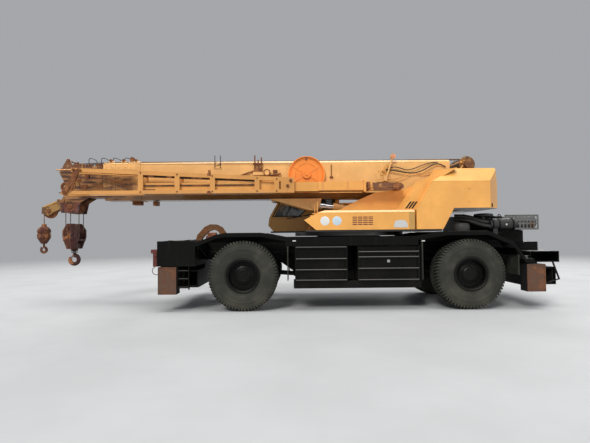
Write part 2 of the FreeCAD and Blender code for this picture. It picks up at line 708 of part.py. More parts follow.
def side_box(x0, x1, ribs):
    """A left side box under the deck, with a raised rim and the given ribs across its face."""
    face = BODY_HALF_W - SIDE_BOX_INSET
    back = BODY_HALF_W - SIDE_BOX_DEPTH
    shell = box(x0, x1, back, face, SIDE_BOX_Z0, SIDE_BOX_Z1)
    room = box(x0 + SHEET, x1 - SHEET, back + SHEET, face - SHEET, SIDE_BOX_Z0 + SHEET, SIDE_BOX_Z1 - SHEET)
    bars = [box(x0, x1, face, face + RIB_PROUD, z, z + RIB_H) for z in ribs]
    posts = [box(x, x + RIB_H, face, face + RIB_PROUD, SIDE_BOX_Z0, SIDE_BOX_Z1) for x in (x0, x1 - RIB_H)]
    return join(shell.cut(room), *bars, *posts)


def side_boxes():
    ribs_front = (SIDE_BOX_Z0, 830.0, 1060.0, SIDE_BOX_Z1 - RIB_H)
    ribs_rear = (SIDE_BOX_Z0, 850.0, 1090.0, 1200.0)
    left = [side_box(TOOL_BOX_X0, TOOL_BOX_X1, ribs_front), side_box(FUEL_BOX_X0, FUEL_BOX_X1, ribs_rear)]
    sill = box(
        FUEL_BOX_X0 - 30, TOOL_BOX_X1 + 30, BODY_HALF_W - SIDE_BOX_DEPTH, BODY_HALF_W - SILL_D / 2,
        SIDE_BOX_Z0 - SILL_H, SIDE_BOX_Z0,
    )
    hollow = box(
        FUEL_BOX_X0 - 30, TOOL_BOX_X1 + 30, BODY_HALF_W - SIDE_BOX_DEPTH, BODY_HALF_W - SILL_D,
        SIDE_BOX_Z0 - SILL_H, SIDE_BOX_Z0 - SHEET,
    )
    return pair(join(*left, sill.cut(hollow)))


def bumpers():
    """Rear bumper: an open-ended box section on brackets, with four round tail lamps a side."""
    rear = box(BUMPER_X0, BUMPER_X1, -BUMPER_HALF_W, BUMPER_HALF_W, BUMPER_Z0, BUMPER_Z1)
    room = box(BUMPER_X0 + 20, BUMPER_X1 - 20, -BUMPER_HALF_W, BUMPER_HALF_W, BUMPER_Z0 + 20, BUMPER_Z1 - 20)
    girder = box(
        FRAME_REAR_X - SEAT, BUMPER_X1, -FRAME_HALF_W - SEAT, FRAME_HALF_W + SEAT, BUMPER_Z0 - 20, BUMPER_Z1 + 20
    )
    brackets = []
    for way in (1, -1):
        y0, y1 = sorted((way * (FRAME_HALF_W + SEAT), way * (FRAME_HALF_W + 60)))
        brackets.append(box(BUMPER_X0 + 20, BUMPER_X1 - 20, y0, y1, BUMPER_Z0 + 20, BUMPER_Z1 - 20))
    lamps = [box(BUMPER_X0 - 8, BUMPER_X0, *sorted((w * 700, w * 1100)), 1000, 1170) for _, w in SIDES]
    lamps += [rod("x", 46, 14, (BUMPER_X0 - 22, w * y, 1085)) for _, w in SIDES for y in (735, 835, 935, 1035)]
    return carve(join(rear.cut(room).cut(girder), *brackets, *lamps), girder)


def hook_rest():
    """The arch that the travelling hook is tied to: two bent plates and three bars."""
    foot, deck = FRAME_TOP, FRONT_BODY_TOP + SEAT
    arch = [
        (2930.0, foot), (3060.0, foot), (3060.0, 1600.0), (3130.0, 1705.0), (3230.0, 1745.0), (3350.0, 1705.0),
        (3500.0, 1560.0), (3530.0, deck), (3660.0, deck), (3625.0, 1620.0), (3450.0, 1810.0), (3320.0, 1872.0),
        (3170.0, 1868.0), (3030.0, 1795.0), (2945.0, 1660.0),
    ]
    plates = [prism("xz", arch, y, y + 24) for y in (80.0, 216.0)]
    bars = [rod("y", 30, 160, (x, 80, z)) for x, z in ((3240.0, 1810.0), (2995.0, 1600.0), (3560.0, 1600.0))]
    return join(*plates, *bars)


def engine_block():
    return box(ENGINE_X0, ENGINE_X1, -ENGINE_HALF_W, ENGINE_HALF_W, FRAME_TOP, FRAME_TOP + ENGINE_H)


def engine_hood():
    """Louvred sheet hood over the engine, open below, sloped at the rear, its left rear corner cut out."""
    def outline(t):
        low = FRAME_TOP if t == 0 else FRAME_TOP - t
        return [
            (HOOD_X1 - t, low), (HOOD_X1 - t, HOOD_TOP - t), (HOOD_X0 + HOOD_REAR_DROP + t / 2, HOOD_TOP - t),
            (HOOD_X0 + t, FRAME_TOP + 260), (HOOD_X0 + t, low),
        ]

    def notch(t):
        return box(HOOD_X0 - 50, HOOD_NOTCH_X + t, HOOD_NOTCH_Y - t, HOOD_HALF_W + 50, HOOD_NOTCH_Z - t, HOOD_TOP + 50)

    shell = prism("xz", outline(0), -HOOD_HALF_W, HOOD_HALF_W).cut(notch(0))
    room = prism("xz", outline(SHEET), -HOOD_HALF_W + SHEET, HOOD_HALF_W - SHEET).cut(notch(SHEET))
    louvres = []
    for x in (HOOD_X0 + 100, HOOD_X0 + 800):
        for _, w in SIDES:
            for k in range(3 if w > 0 and x < HOOD_NOTCH_X else 8):
                y0, y1 = sorted((w * HOOD_HALF_W, w * (HOOD_HALF_W + 14)))
                z = FRAME_TOP + 100 + 45 * k
                louvres.append(box(x, x + 500, y0, y1, z, z + 18))
    heights = [FRAME_TOP + 60 + 70 * k for k in range(3)]
    bars = [box(HOOD_X0 - 10, HOOD_X0, -500, 500, z, z + 30) for z in heights]
    return join(carve(shell, room), *louvres, *bars)


def air_cleaner():
    """Horizontal air cleaner on the left fender, with the hose up from it and its cradle."""
    body = rod("x", CLEANER_R, CLEANER_X1 - CLEANER_X0, (CLEANER_X0, CLEANER_Y, CLEANER_Z))
    cap = rod("x", CLEANER_R * 0.6, 70, (CLEANER_X0 - 70, CLEANER_Y, CLEANER_Z))
    cradle = box(CLEANER_X1 - 160, CLEANER_X1 - 60, CLEANER_Y - 90, CLEANER_Y + 90, 1530, CLEANER_Z)
    link = box(CLEANER_X1 - 260, CLEANER_X1 - 160, HOOD_HALF_W, CLEANER_Y, CLEANER_Z - 60, CLEANER_Z + 60)
    fender = prism("xz", fender_line() + [(BUMPER_X1, 0), (FRONT_BODY_X0, 0)], FENDER_INNER_Y, BODY_HALF_W)
    inlet = rod("x", 56, 200, (CLEANER_X1 - 20, CLEANER_Y - 40, CLEANER_Z + 20))
    riser = rod("z", 56, 210, (CLEANER_X1 + 120, CLEANER_Y - 40, CLEANER_Z - 20))
    rain_cap = rod("z", 195, 40, (CLEANER_X1 + 90, CLEANER_Y - 60, CLEANER_Z + 190))
    return carve(join(body, cap, cradle, link, inlet, riser, rain_cap), fender)


def muffler():
    """Horizontal silencer in the hood's cut corner, on two stands, with a slotted heat guard on its left."""
    body = rod("x", MUFFLER_R, MUFFLER_X1 - MUFFLER_X0, (MUFFLER_X0, MUFFLER_Y, MUFFLER_Z))
    pipe = rod("x", 52, HOOD_NOTCH_X - MUFFLER_X1 - SEAT, (MUFFLER_X1, MUFFLER_Y - 40, MUFFLER_Z))
    tail = rod("x", 38, 60, (MUFFLER_X0 - 60, MUFFLER_Y - 50, MUFFLER_Z + 30))
    stands = [
        box(x, x + 40, HOOD_NOTCH_Y + 20, HOOD_HALF_W, HOOD_NOTCH_Z + SEAT, MUFFLER_Z)
        for x in (HOOD_X0 + 40, MUFFLER_X1 - 120)
    ]
    face = MUFFLER_Y + MUFFLER_R + 20
    x0, x1, z0, z1 = MUFFLER_X0 - 30, MUFFLER_X1, MUFFLER_Z - 165, MUFFLER_Z + 160
    middle = (z0 + z1) / 2
    guard = [box(x0, x1, face, face + 8, z, z + 34) for z in (z0, middle - 50, middle + 30, z1 - 34)]
    step = (x1 - x0 - 30) / 9
    guard += [box(x0 + step * k, x0 + step * k + 30, face, face + 8, z0, z1) for k in range(10)]
    posts = [
        box(x, x + 30, MUFFLER_Y + MUFFLER_R - 20, face + 1, MUFFLER_Z - 20, MUFFLER_Z + 20)
        for x in (MUFFLER_X0 + 140, MUFFLER_X1 - 150)
    ]
    return join(body, pipe, tail, *stands, *guard, *posts)


def carrier():
    export("chassis_frame", chassis_frame())
    export("outrigger_boxes", outrigger_boxes())
    export("drive_line", drive_line())
    export("fenders", fenders())
    export("front_body", front_body())
    export("side_boxes", side_boxes())
    export("bumpers", bumpers())
    export("hook_rest", hook_rest())
    export("engine_block", engine_block())
    export("engine_hood", engine_hood())
    export("air_cleaner", air_cleaner())
    export("muffler", muffler())


# Superstructure
DECK_TOP_Z = DECK_PLATE_Z0 + DECK_PLATE_T
REAR_HOOD_INNER = MAST_Y + MAST_T


def slew_frame():
    """Turntable deck, boom-foot plates with their pins, and the cross members between them."""
    disc = rod("z", SLEW_RING_R - 20, DECK_PLATE_Z0 - SLEW_RING_TOP - SEAT, (0, 0, SLEW_RING_TOP + SEAT))
    deck = box(DECK_PLATE_X0, DECK_PLATE_X1, -DECK_PLATE_HALF_W, DECK_PLATE_HALF_W, DECK_PLATE_Z0, DECK_TOP_Z)
    cab_tray = box(DECK_PLATE_X1, CAB_X1 - 60, CAB_OUTER_Y + 60, CAB_INNER_Y - 10, DECK_PLATE_Z0, DECK_TOP_Z - SEAT)
    skirt = tube("z", SKIRT_R, SKIRT_R - 180, 87, (0, 0, DECK_PLATE_Z0 - 85))
    outline = [
        (950.0, DECK_TOP_Z), (950.0, 1960.0), (230.0, 2190.0), (-130.0, 2376.0), (-576.0, 2570.0), (-1254.0, 2640.0),
        (-1800.0, 2860.0), (FOOT_PIN_X + 200, 3080.0), (FOOT_PIN_X - 160, 3110.0), (MAST_REAR_X, 2860.0),
        (MAST_REAR_X, 2260.0), (-2180.0, 2200.0), (-1950.0, DECK_TOP_Z),
    ]
    plates = [prism("xz", outline, *sorted((way * MAST_Y, way * (MAST_Y + MAST_T)))) for _, way in SIDES]
    rear_floor = box(-1950, DECK_PLATE_X0 + 1, -MAST_Y - MAST_T, MAST_Y + MAST_T, DECK_PLATE_Z0 + 10, DECK_TOP_Z)
    cross = [
        box(-2560, -2440, -MAST_Y, MAST_Y, 2240, 2330),
        box(880, 950, -MAST_Y, MAST_Y, DECK_TOP_Z, 1900),
    ]
    span = 2 * (MAST_Y + MAST_T)
    foot_pin = rod("y", FOOT_PIN_R, span, (FOOT_PIN_X, -span / 2, FOOT_PIN_Z))
    cyl_pin = rod("y", CYL_PIN_R, span, (CYL_PIN_X, -span / 2, CYL_PIN_Z))
    return join(disc, deck, cab_tray, skirt, *plates, rear_floor, *cross, foot_pin, cyl_pin)


def side_hood():
    """Left deck box beside the boom, with its pointed nose, louvres and the step at its rear."""
    def outline(t):
        return [
            (SIDE_HOOD_X0 + t, DECK_TOP_Z + t), (840.0 - t / 2, DECK_TOP_Z + t), (SIDE_HOOD_X1 - 1.4 * t, 1915.0),
            (760.0 - t / 2, 2090.0 - t), (650.0, SIDE_HOOD_TOP - t), (SIDE_HOOD_X0 + t, SIDE_HOOD_TOP - t),
        ]
    shell = prism("xz", outline(0), SIDE_HOOD_INNER, SIDE_HOOD_OUTER)
    room = prism("xz", outline(SHEET), SIDE_HOOD_INNER + SHEET, SIDE_HOOD_OUTER - SHEET)
    outer, top, fold = SIDE_HOOD_OUTER, SIDE_HOOD_TOP, SIDE_HOOD_FOLD

    def edge(t):
        corner = [
            (outer - t, top - fold), (outer + 50, top - fold), (outer + 50, top + 50), (outer - fold, top + 50),
            (outer - fold, top - t),
        ]
        return prism("yz", corner, SIDE_HOOD_X0 - 1, SIDE_HOOD_X1 + 1)

    slots = [
        box(x, x + 98, outer - 8, outer + 1, z, z + 26)
        for x in (-374.0 + 113 * k for k in range(4))
        for z in (1802.0 + 39 * k for k in range(5))
    ]
    return carve(carve(shell, edge(0)).cut(room.cut(edge(SHEET))), *slots)


def right_tank():
    """Hydraulic oil tank on the right, behind the cab, with a filler neck on top."""
    body = box(SIDE_HOOD_X0, CAB_X0 - 60, -SIDE_HOOD_OUTER, -SIDE_HOOD_INNER, DECK_TOP_Z, 2420)
    room = box(
        SIDE_HOOD_X0 + SHEET, CAB_X0 - 60 - SHEET, -SIDE_HOOD_OUTER + SHEET, -SIDE_HOOD_INNER - SHEET,
        DECK_TOP_Z + SHEET, 2420 - SHEET,
    )
    neck = rod("z", 70, 60, (SIDE_HOOD_X0 + 260, -1000, 2420))
    return join(body.cut(room), neck)


def rear_hood_outline(t=0.0):
    """Side outline of a rear hood, as (x, z), drawn in by t."""
    return [
        (REAR_HOOD_FRONT - t, REAR_HOOD_LOW + t), (REAR_HOOD_FRONT - t, 2120.0), (-1640.0 - t, REAR_HOOD_SHOULDER),
        (-2230.0 - t / 2, REAR_HOOD_TOP - t), (REAR_HOOD_REAR + 60 + t, REAR_HOOD_TOP - t),
        (REAR_HOOD_REAR + t, REAR_HOOD_SHOULDER), (REAR_HOOD_REAR + t, REAR_HOOD_BELLY + t),
        (-2090.0 + t / 2, REAR_HOOD_BELLY + t), (-1850.0 + t / 2, REAR_HOOD_LOW + t),
    ]


def rear_hood():
    """A left rear hood: flat side, sloped front, top edge and rear corner cut off flat."""
    def body(t):
        raw = prism("xz", rear_hood_outline(t), REAR_HOOD_INNER + t, REAR_HOOD_OUTER - t)
        outer, far = REAR_HOOD_OUTER - t, REAR_HOOD_OUTER + 200
        top_cut = prism(
            "yz",
            [(outer, REAR_HOOD_SHOULDER - t / 2), (outer - REAR_HOOD_TOP_INSET, REAR_HOOD_TOP - t / 2),
             (outer - REAR_HOOD_TOP_INSET, REAR_HOOD_TOP + 400), (far, REAR_HOOD_TOP + 400),
             (far, REAR_HOOD_SHOULDER - t / 2)],
            REAR_HOOD_REAR - 100, REAR_HOOD_FRONT + 100,
        )
        corner_cut = prism(
            "xy",
            [(-2880.0, outer), (REAR_HOOD_REAR + t, outer - 370), (REAR_HOOD_REAR - 200, outer - 370),
             (REAR_HOOD_REAR - 200, far), (-2880.0, far)],
            REAR_HOOD_LOW - 100, REAR_HOOD_TOP + 400,
        )
        return carve(raw, top_cut, corner_cut)
    return body(0).cut(body(REAR_HOOD_T))


def inner_band():
    """The slanted band in front of the left rear hood's sloping edge."""
    outline = [
        (-1100.0, SIDE_HOOD_TOP + 8), (-1000.0, SIDE_HOOD_TOP + 8), (-1520.0, 2800.0), (-1930.0, 2985.0),
        (-2200.0, 3030.0), (-2240.0, 3030.0), (-1660.0, 2700.0), (REAR_HOOD_FRONT - 8, SIDE_HOOD_TOP + 8),
    ]
    return prism("xz", outline, REAR_HOOD_INNER + 10, REAR_HOOD_OUTER - 140)


def counterweight():
    """Cast block between the rear hoods, behind the boom foot."""
    half = REAR_HOOD_INNER
    outline = [
        (MAST_REAR_X, REAR_HOOD_BELLY), (MAST_REAR_X, COUNTERWEIGHT_TOP),
        (COUNTERWEIGHT_X0 + 60, COUNTERWEIGHT_TOP), (COUNTERWEIGHT_X0, COUNTERWEIGHT_TOP - 80),
        (COUNTERWEIGHT_X0, REAR_HOOD_BELLY + 60), (COUNTERWEIGHT_X0 + 60, REAR_HOOD_BELLY),
    ]
    return prism("xz", outline, -half, half)


WINCHES = (  # name, x, z, flange radius, radius over the wound rope
    ("main", -2880.0, 2790.0, 195.0, 168.0),
    ("aux", -2800.0, 3245.0, 190.0, 162.0),
)


def winches():
    """Two winch drums with their flanges, and the frame that carries them on the counterweight."""
    half = 330.0
    drums = []
    for _, x, z, flange_r, barrel_r in WINCHES:
        barrel = rod("y", barrel_r, 2 * half, (x, -half, z))
        flanges = [rod("y", flange_r, 20, (x, y, z)) for y in (-half, half - 20)]
        motor = rod("y", 104, 120, (x, half + 20, z))
        drums.append(join(barrel, *flanges, motor))
    low, high = COUNTERWEIGHT_TOP, 3300.0
    cheek = [(-3060.0, low), (-2690.0, low), (-2700.0, 2900.0), (-2720.0, high), (-2880.0, high)]
    cheeks = [prism("xz", cheek, *sorted((w * half, w * (half + 24)))) for _, w in SIDES]
    return join(*drums, *cheeks)


def cab_outline(t=0.0):
    """The cab's side outline, as (x, z), drawn in by t."""
    return [
        (CAB_X0 + t, CAB_FLOOR + t), (CAB_X1 - 130 - t / 2, CAB_FLOOR + t), (CAB_X1 - t, 1850.0 + t / 3),
        (CAB_X1 - 30 - t, CAB_SILL - 10), (CAB_X1 - 30 - 1.12 * t - 660, CAB_ROOF - 50 - t / 2),
        (CAB_X1 - 800 - t / 2, CAB_ROOF - t), (CAB_X0 + 100 + t / 2, CAB_ROOF - t), (CAB_X0 + t, CAB_ROOF - 110 - t / 2),
    ]


def windscreen_x(z):
    """The windscreen's outer face at height z."""
    low_z, high_z = CAB_SILL - 10, CAB_ROOF - 50
    return CAB_X1 - 30 - 660 * (z - low_z) / (high_z - low_z)


def side_window(back, frame):
    """A side window as (x, z): level sill, slanted front beside the windscreen."""
    return [
        (back, CAB_HIGH_SILL), (1000.0, CAB_HIGH_SILL), (1180.0, CAB_SILL + 20), (windscreen_x(CAB_SILL + 20) - frame, CAB_SILL + 20),
        (windscreen_x(CAB_HEADER) - frame, CAB_HEADER), (back, CAB_HEADER),
    ]


def door_outline(gap):
    """The right door as (x, z), drawn in by gap on every side."""
    front = 130.0
    return [
        (DOOR_X0 + gap, CAB_FLOOR + 70 + gap), (windscreen_x(CAB_SILL) - front - gap, CAB_FLOOR + 70 + gap),
        (windscreen_x(CAB_SILL) - front - gap, CAB_SILL), (windscreen_x(CAB_HEADER + 50) - front - gap, CAB_HEADER + 50 - gap),
        (DOOR_X0 + gap, CAB_HEADER + 50 - gap),
    ]


def door_window():
    inset = 70.0
    front = 130.0 + inset
    return [
        (DOOR_X0 + inset, CAB_HIGH_SILL), (1000.0, CAB_HIGH_SILL), (1150.0, CAB_SILL + 60),
        (windscreen_x(CAB_SILL + 60) - front, CAB_SILL + 60), (windscreen_x(CAB_HEADER - 20) - front, CAB_HEADER - 20),
        (DOOR_X0 + inset, CAB_HEADER - 20),
    ]


def slanted_front(depth0, depth1, z0, z1):
    """A slab parallel to the windscreen, from depth0 to depth1 behind its outer face, as (x, z)."""
    return [
        (windscreen_x(z0) - depth0, z0), (windscreen_x(z1) - depth0, z1),
        (windscreen_x(z1) - depth1, z1), (windscreen_x(z0) - depth1, z0),
    ]


CAB_POST = 66.0
REAR_WINDOW_Z = (2330.0, 3040.0)


def cab_shell():
    """Hollow cab with its windscreen, left, rear and roof windows cut out, and the doorway on the right."""
    shell = prism("xz", cab_outline(), CAB_OUTER_Y, CAB_INNER_Y)
    room = prism("xz", cab_outline(CAB_WALL), CAB_OUTER_Y + CAB_WALL, CAB_INNER_Y - CAB_WALL)
    front = prism(
        "xz", slanted_front(-40, CAB_WALL * 2.2, CAB_SILL + 30, CAB_HEADER), CAB_OUTER_Y + CAB_POST, CAB_INNER_Y - CAB_POST
    )
    left = prism("xz", side_window(CAB_X0 + 120, 110), CAB_INNER_Y - CAB_WALL - 1, CAB_INNER_Y + 1)
    doorway = prism("xz", door_outline(0), CAB_OUTER_Y - 1, CAB_OUTER_Y + CAB_WALL + 1)
    quarter = box(CAB_X0 + 110, DOOR_X0 - 60, CAB_OUTER_Y - 1, CAB_OUTER_Y + CAB_WALL + 1, CAB_HIGH_SILL, CAB_HEADER)
    rear = box(
        CAB_X0 - 1, CAB_X0 + CAB_WALL + 1, CAB_OUTER_Y + 110, CAB_INNER_Y - 110, *REAR_WINDOW_Z
    )
    lamps = [rod("x", 58, 90, (CAB_X1 - 930, y, CAB_ROOF + 48)) for y in (CAB_INNER_Y - 150, CAB_OUTER_Y + 150)]
    return join(carve(shell, room, front, left, doorway, quarter, rear), *hinge_pins(), *lamps)


def cab_glass():
    """Every fixed pane, each in the middle of its wall."""
    mid = (CAB_WALL - GLASS_T) / 2
    front = prism(
        "xz", slanted_front(mid, mid + GLASS_T, CAB_SILL + 30, CAB_HEADER), CAB_OUTER_Y + CAB_POST, CAB_INNER_Y - CAB_POST
    )
    left = prism("xz", side_window(CAB_X0 + 120, 110), CAB_INNER_Y - mid - GLASS_T, CAB_INNER_Y - mid)
    quarter = box(
        CAB_X0 + 110, DOOR_X0 - 60, CAB_OUTER_Y + mid, CAB_OUTER_Y + mid + GLASS_T, CAB_HIGH_SILL, CAB_HEADER
    )
    rear = box(CAB_X0 + mid, CAB_X0 + mid + GLASS_T, CAB_OUTER_Y + 110, CAB_INNER_Y - 110, *REAR_WINDOW_Z)
    return Part.Compound([front, left, quarter, rear])


HINGE_X = DOOR_X0 + DOOR_GAP / 2
HINGE_Y = CAB_OUTER_Y - HINGE_R


def hinge_knuckles():
    """The door's hinge barrels with their leaves, bored for the pins."""
    barrels = []
    for z in HINGE_Z:
        barrel = rod("z", HINGE_R, HINGE_L, (HINGE_X, HINGE_Y, z))
        leaf = box(HINGE_X, DOOR_X0 + 70, CAB_OUTER_Y - 8, CAB_OUTER_Y, z, z + HINGE_L)
        barrels.append(join(barrel, leaf))
    return barrels


def hinge_bores():
    return [rod("z", HINGE_PIN_R + PIN_FIT, 2 * HINGE_L, (HINGE_X, HINGE_Y, z - HINGE_L / 2)) for z in HINGE_Z]


def hinge_pins():
    """The cab's hinge pins, each on two barrels above and below the door's."""
    pins = []
    for z in HINGE_Z:
        pins.append(rod("z", HINGE_PIN_R, 3 * HINGE_L, (HINGE_X, HINGE_Y, z - HINGE_L)))
        for z0 in (z - HINGE_L, z + HINGE_L + SEAT):
            barrel = rod("z", HINGE_R, HINGE_L - SEAT, (HINGE_X, HINGE_Y, z0))
            leaf = box(DOOR_X0 - 70, HINGE_X, CAB_OUTER_Y - 8, CAB_OUTER_Y, z0, z0 + HINGE_L - SEAT)
            pins.append(join(barrel, leaf))
    return pins


def cab_door():
    """Right door panel with its window cut out and a pull handle, hinged along its rear edge."""
    panel = prism("xz", door_outline(DOOR_GAP), CAB_OUTER_Y, CAB_OUTER_Y + CAB_WALL)
    window = prism("xz", door_window(), CAB_OUTER_Y - 1, CAB_OUTER_Y + CAB_WALL + 1)
    handle = box(1480, 1620, CAB_OUTER_Y - 28, CAB_OUTER_Y, 1985, 2020)
    return carve(join(carve(panel, window), handle, *hinge_knuckles()), *hinge_bores())


def cab_door_glass():
    mid = (CAB_WALL - GLASS_T) / 2
    return prism("xz", door_window(), CAB_OUTER_Y + mid, CAB_OUTER_Y + mid + GLASS_T)


CAB_MID_Y = (CAB_INNER_Y + CAB_OUTER_Y) / 2


def cab_seat():
    """Operator's seat: pedestal, cushion and back."""
    floor = CAB_FLOOR + CAB_WALL
    pedestal = box(620, 900, CAB_MID_Y - 160, CAB_MID_Y + 160, floor, floor + 260)
    cushion = box(520, 1020, CAB_MID_Y - 240, CAB_MID_Y + 240, floor + 260, floor + 380)
    back = prism(
        "xz", [(560.0, floor + 380), (660.0, floor + 380), (520.0, floor + 1000), (420.0, floor + 1000)],
        CAB_MID_Y - 230, CAB_MID_Y + 230,
    )
    return join(pedestal, cushion, back)


def cab_controls():
    """Steering column with its wheel, and the console in front of it."""
    floor = CAB_FLOOR + CAB_WALL
    console = box(1600, 1800, CAB_MID_Y - 280, CAB_MID_Y + 280, floor, floor + 380)
    wheel_at = V(1390, CAB_MID_Y, floor + 640)
    lean = V(-0.5, 0, 0.866)
    column = Part.makeCylinder(32, 420, V(1390, CAB_MID_Y, floor + 640) - lean * 420, lean)
    ring = Part.makeTorus(200, 17, wheel_at, lean)
    spoke = Part.makeBox(400, 36, 16, V(-200, -18, -8))
    spoke.rotate(V(0, 0, 0), AXIS["y"], -30)
    spoke.translate(wheel_at)
    foot = box(1560, 1640, CAB_MID_Y - 50, CAB_MID_Y + 50, floor, floor + 330)
    return join(console, column, ring, spoke, foot)


def superstructure():
    export("slew_frame", slew_frame())
    export("side_hood", side_hood())
    export("right_tank", right_tank())
    export("rear_hoods", Part.Compound([join(rear_hood(), inner_band()), mirror_y(rear_hood())]))
    export("counterweight", counterweight())
    export("winches", winches())
    export("cab_shell", cab_shell())
    export("cab_glass", cab_glass())
    export("cab_door", cab_door())
    export("cab_door_glass", cab_door_glass())
    export("cab_seat", cab_seat())
    export("cab_controls", cab_controls())


# Luffing cylinders
def cylinder_direction():
    run = V(ROD_PIN_X - CYL_PIN_X, 0, ROD_PIN_Z - CYL_PIN_Z)
    return run * (1 / run.Length), run.Length


def luff_tube():
    """Left cylinder tube with the eye that turns on the pin between the boom-foot plates."""
    way, _ = cylinder_direction()
    start = V(CYL_PIN_X, CYL_Y, CYL_PIN_Z)
    body = Part.makeCylinder(CYL_TUBE_R, CYL_TUBE_L - 100, start + way * 100, way)
    gland = Part.makeCylinder(CYL_TUBE_R + 14, 90, start + way * (CYL_TUBE_L - 90), way)
    eye = rod("y", CYL_EYE_R, CYL_EYE_W, (CYL_PIN_X, CYL_Y - CYL_EYE_W / 2, CYL_PIN_Z))
    bore = Part.makeCylinder(CYL_ROD_R + PIN_FIT, CYL_TUBE_L, start + way * 220, way)
    pin_hole = rod("y", CYL_PIN_R + PIN_FIT, 2 * CYL_EYE_W, (CYL_PIN_X, CYL_Y - CYL_EYE_W, CYL_PIN_Z))
    return carve(join(body, gland, eye), bore, pin_hole)


def luff_rod():
    """Left piston rod with its end eye and the pin that the boom's bracket takes."""
    way, length = cylinder_direction()
    start = V(CYL_PIN_X, CYL_Y, CYL_PIN_Z)
    shank = Part.makeCylinder(CYL_ROD_R, length - 300, start + way * 260, way)
    eye = rod("y", CYL_EYE_R, ROD_EYE_W, (ROD_PIN_X, CYL_Y - ROD_EYE_W / 2, ROD_PIN_Z))
    return join(shank, eye)


# Boom
def section_size(index):
    """Half width, low and high of section 0 (the base) to 3."""
    step = index * BOOM_NEST
    return BOOM_HALF_W - step, BOOM_LOW + step, BOOM_TOP - step


def section_outline(half, low, high):
    """A boom section's outline as (y, z): small corners on top, cut corners below."""
    c = BOOM_CORNER * half / BOOM_HALF_W
    small = c / 3
    return [
        (half - c, low), (half, low + c), (half, high - small), (half - small, high),
        (-half + small, high), (-half, high - small), (-half, low + c), (-half + c, low),
    ]


def hollow_section(index, x0, x1):
    half, low, high = section_size(index)
    outer = prism("yz", section_outline(half, low, high), x0, x1)
    t = BOOM_T
    inner = prism("yz", section_outline(half - t, low + t, high - t), x0 - 1, x1 + 1)
    return outer.cut(inner)


def collar(index, x0, x1):
    """The thick front frame of a section: the base's outline outside, room for the next section inside."""
    half, low, high = section_size(0)
    grow = 0.0 if index else 14.0
    outer = prism("yz", section_outline(half + grow, low - grow, high + grow), x0, x1)
    hole_half, hole_low, hole_high = section_size(index + 1)
    hole = prism(
        "yz", section_outline(hole_half + RUN, hole_low - RUN, hole_high + RUN), x0 - 1, x1 + 1
    )
    pad = box(x0, x1, -hole_half / 3, hole_half / 3, hole_low - RUN - 1, hole_low - SEAT)
    rollers = []
    for y in (-300.0, 220.0):
        rollers.append(box(x0 + 70, x0 + 170, y, y + 80, high - 1, high + 42))
        rollers.append(rod("y", 32, 100, (x0 + 120, y - 10, high + 50)))
    return join(outer.cut(hole), pad, *rollers)


def collar_front(index):
    """Front face of a section's collar with the boom closed."""
    return BOOM_FRONT_X + index * (COLLAR_L + MOVE_GAP)


def section_tail(index):
    return BOOM_TAIL_X + 300 + index * SECTION_TAIL_STEP


def boom_base():
    """Base section with foot bosses, the bracket for the luffing cylinders' rods, and jib hangers."""
    tail, front = BOOM_TAIL_X, BOOM_FRONT_X
    half, low, high = section_size(0)
    shell = hollow_section(0, tail, front)
    ends = [collar(0, front - COLLAR_L, front), box(tail, tail + 30, -half + 40, half - 40, low + 90, high - 40)]
    boss_w = MAST_Y - half - MOVE_GAP
    bosses = [
        rod("y", FOOT_PIN_R + 70, boss_w + BOOM_T, (FOOT_PIN_X, y0, FOOT_PIN_Z))
        for y0 in (half - BOOM_T, -half - boss_w)
    ]
    bracket = [
        (1900.0, low + 2), (ROD_PIN_X + 110, ROD_PIN_Z - 120), (ROD_PIN_X - 60, ROD_PIN_Z - 130),
        (ROD_PIN_X - 150, ROD_PIN_Z - 40), (ROD_PIN_X - 190, low + 2),
    ]
    cheek_t = 24.0
    inner_gap = max(ROD_EYE_W / 2, CYL_ROD_R) + MOVE_GAP
    cheeks = [
        prism("xz", bracket, y, y + cheek_t)
        for centre in (-CYL_Y, CYL_Y)
        for y in (centre - inner_gap - cheek_t, centre + inner_gap)
    ]
    pin_heads = [
        rod("y", CYL_PIN_R + 18, 22, (ROD_PIN_X, y, ROD_PIN_Z))
        for centre in (-CYL_Y, CYL_Y)
        for y in (centre - inner_gap - cheek_t - 22, centre + inner_gap + cheek_t)
    ]
    cheek_floor = box(ROD_PIN_X + 420, 1840, -CYL_Y - inner_gap, CYL_Y + inner_gap, low - 60, low + 2)
    hangers = [
        box(x - 40, x + 40, half - BOOM_T, JIB_Y0, z, z + 60)
        for x, z in ((4950.0, 2560.0), (1450.0, 2560.0), (-300.0, 2700.0))
    ]
    pin_hole = rod("y", FOOT_PIN_R + PIN_FIT, 4 * MAST_Y, (FOOT_PIN_X, -2 * MAST_Y, FOOT_PIN_Z))
    fittings = lamp_mast(half) + stow_bracket(half)
    body = join(shell, *ends, *bosses, *cheeks, *pin_heads, cheek_floor, *hangers, *fittings)
    return carve(body, pin_hole)


def lamp_mast(side):
    """The leaning post with a round lamp on the base section's left side, on its bolted foot."""
    foot = [
        (-640.0, 3020.0), (-660.0, 2840.0), (-960.0, 2840.0), (-980.0, 3020.0), (-860.0, 3170.0), (-740.0, 3170.0),
    ]
    start, end = V(-844, side + 70, 2850), V(-1030, side + 70, 3425)
    post = Part.makeCylinder(22, (end - start).Length, start, end - start)
    lamp = rod("y", 60, 90, (end.x, side + 30, end.z + 5))
    arm = box(-890, -800, side + 10, side + 90, 2860, 2980)
    return [prism("xz", foot, side - 4, side + 22), arm, post, lamp]


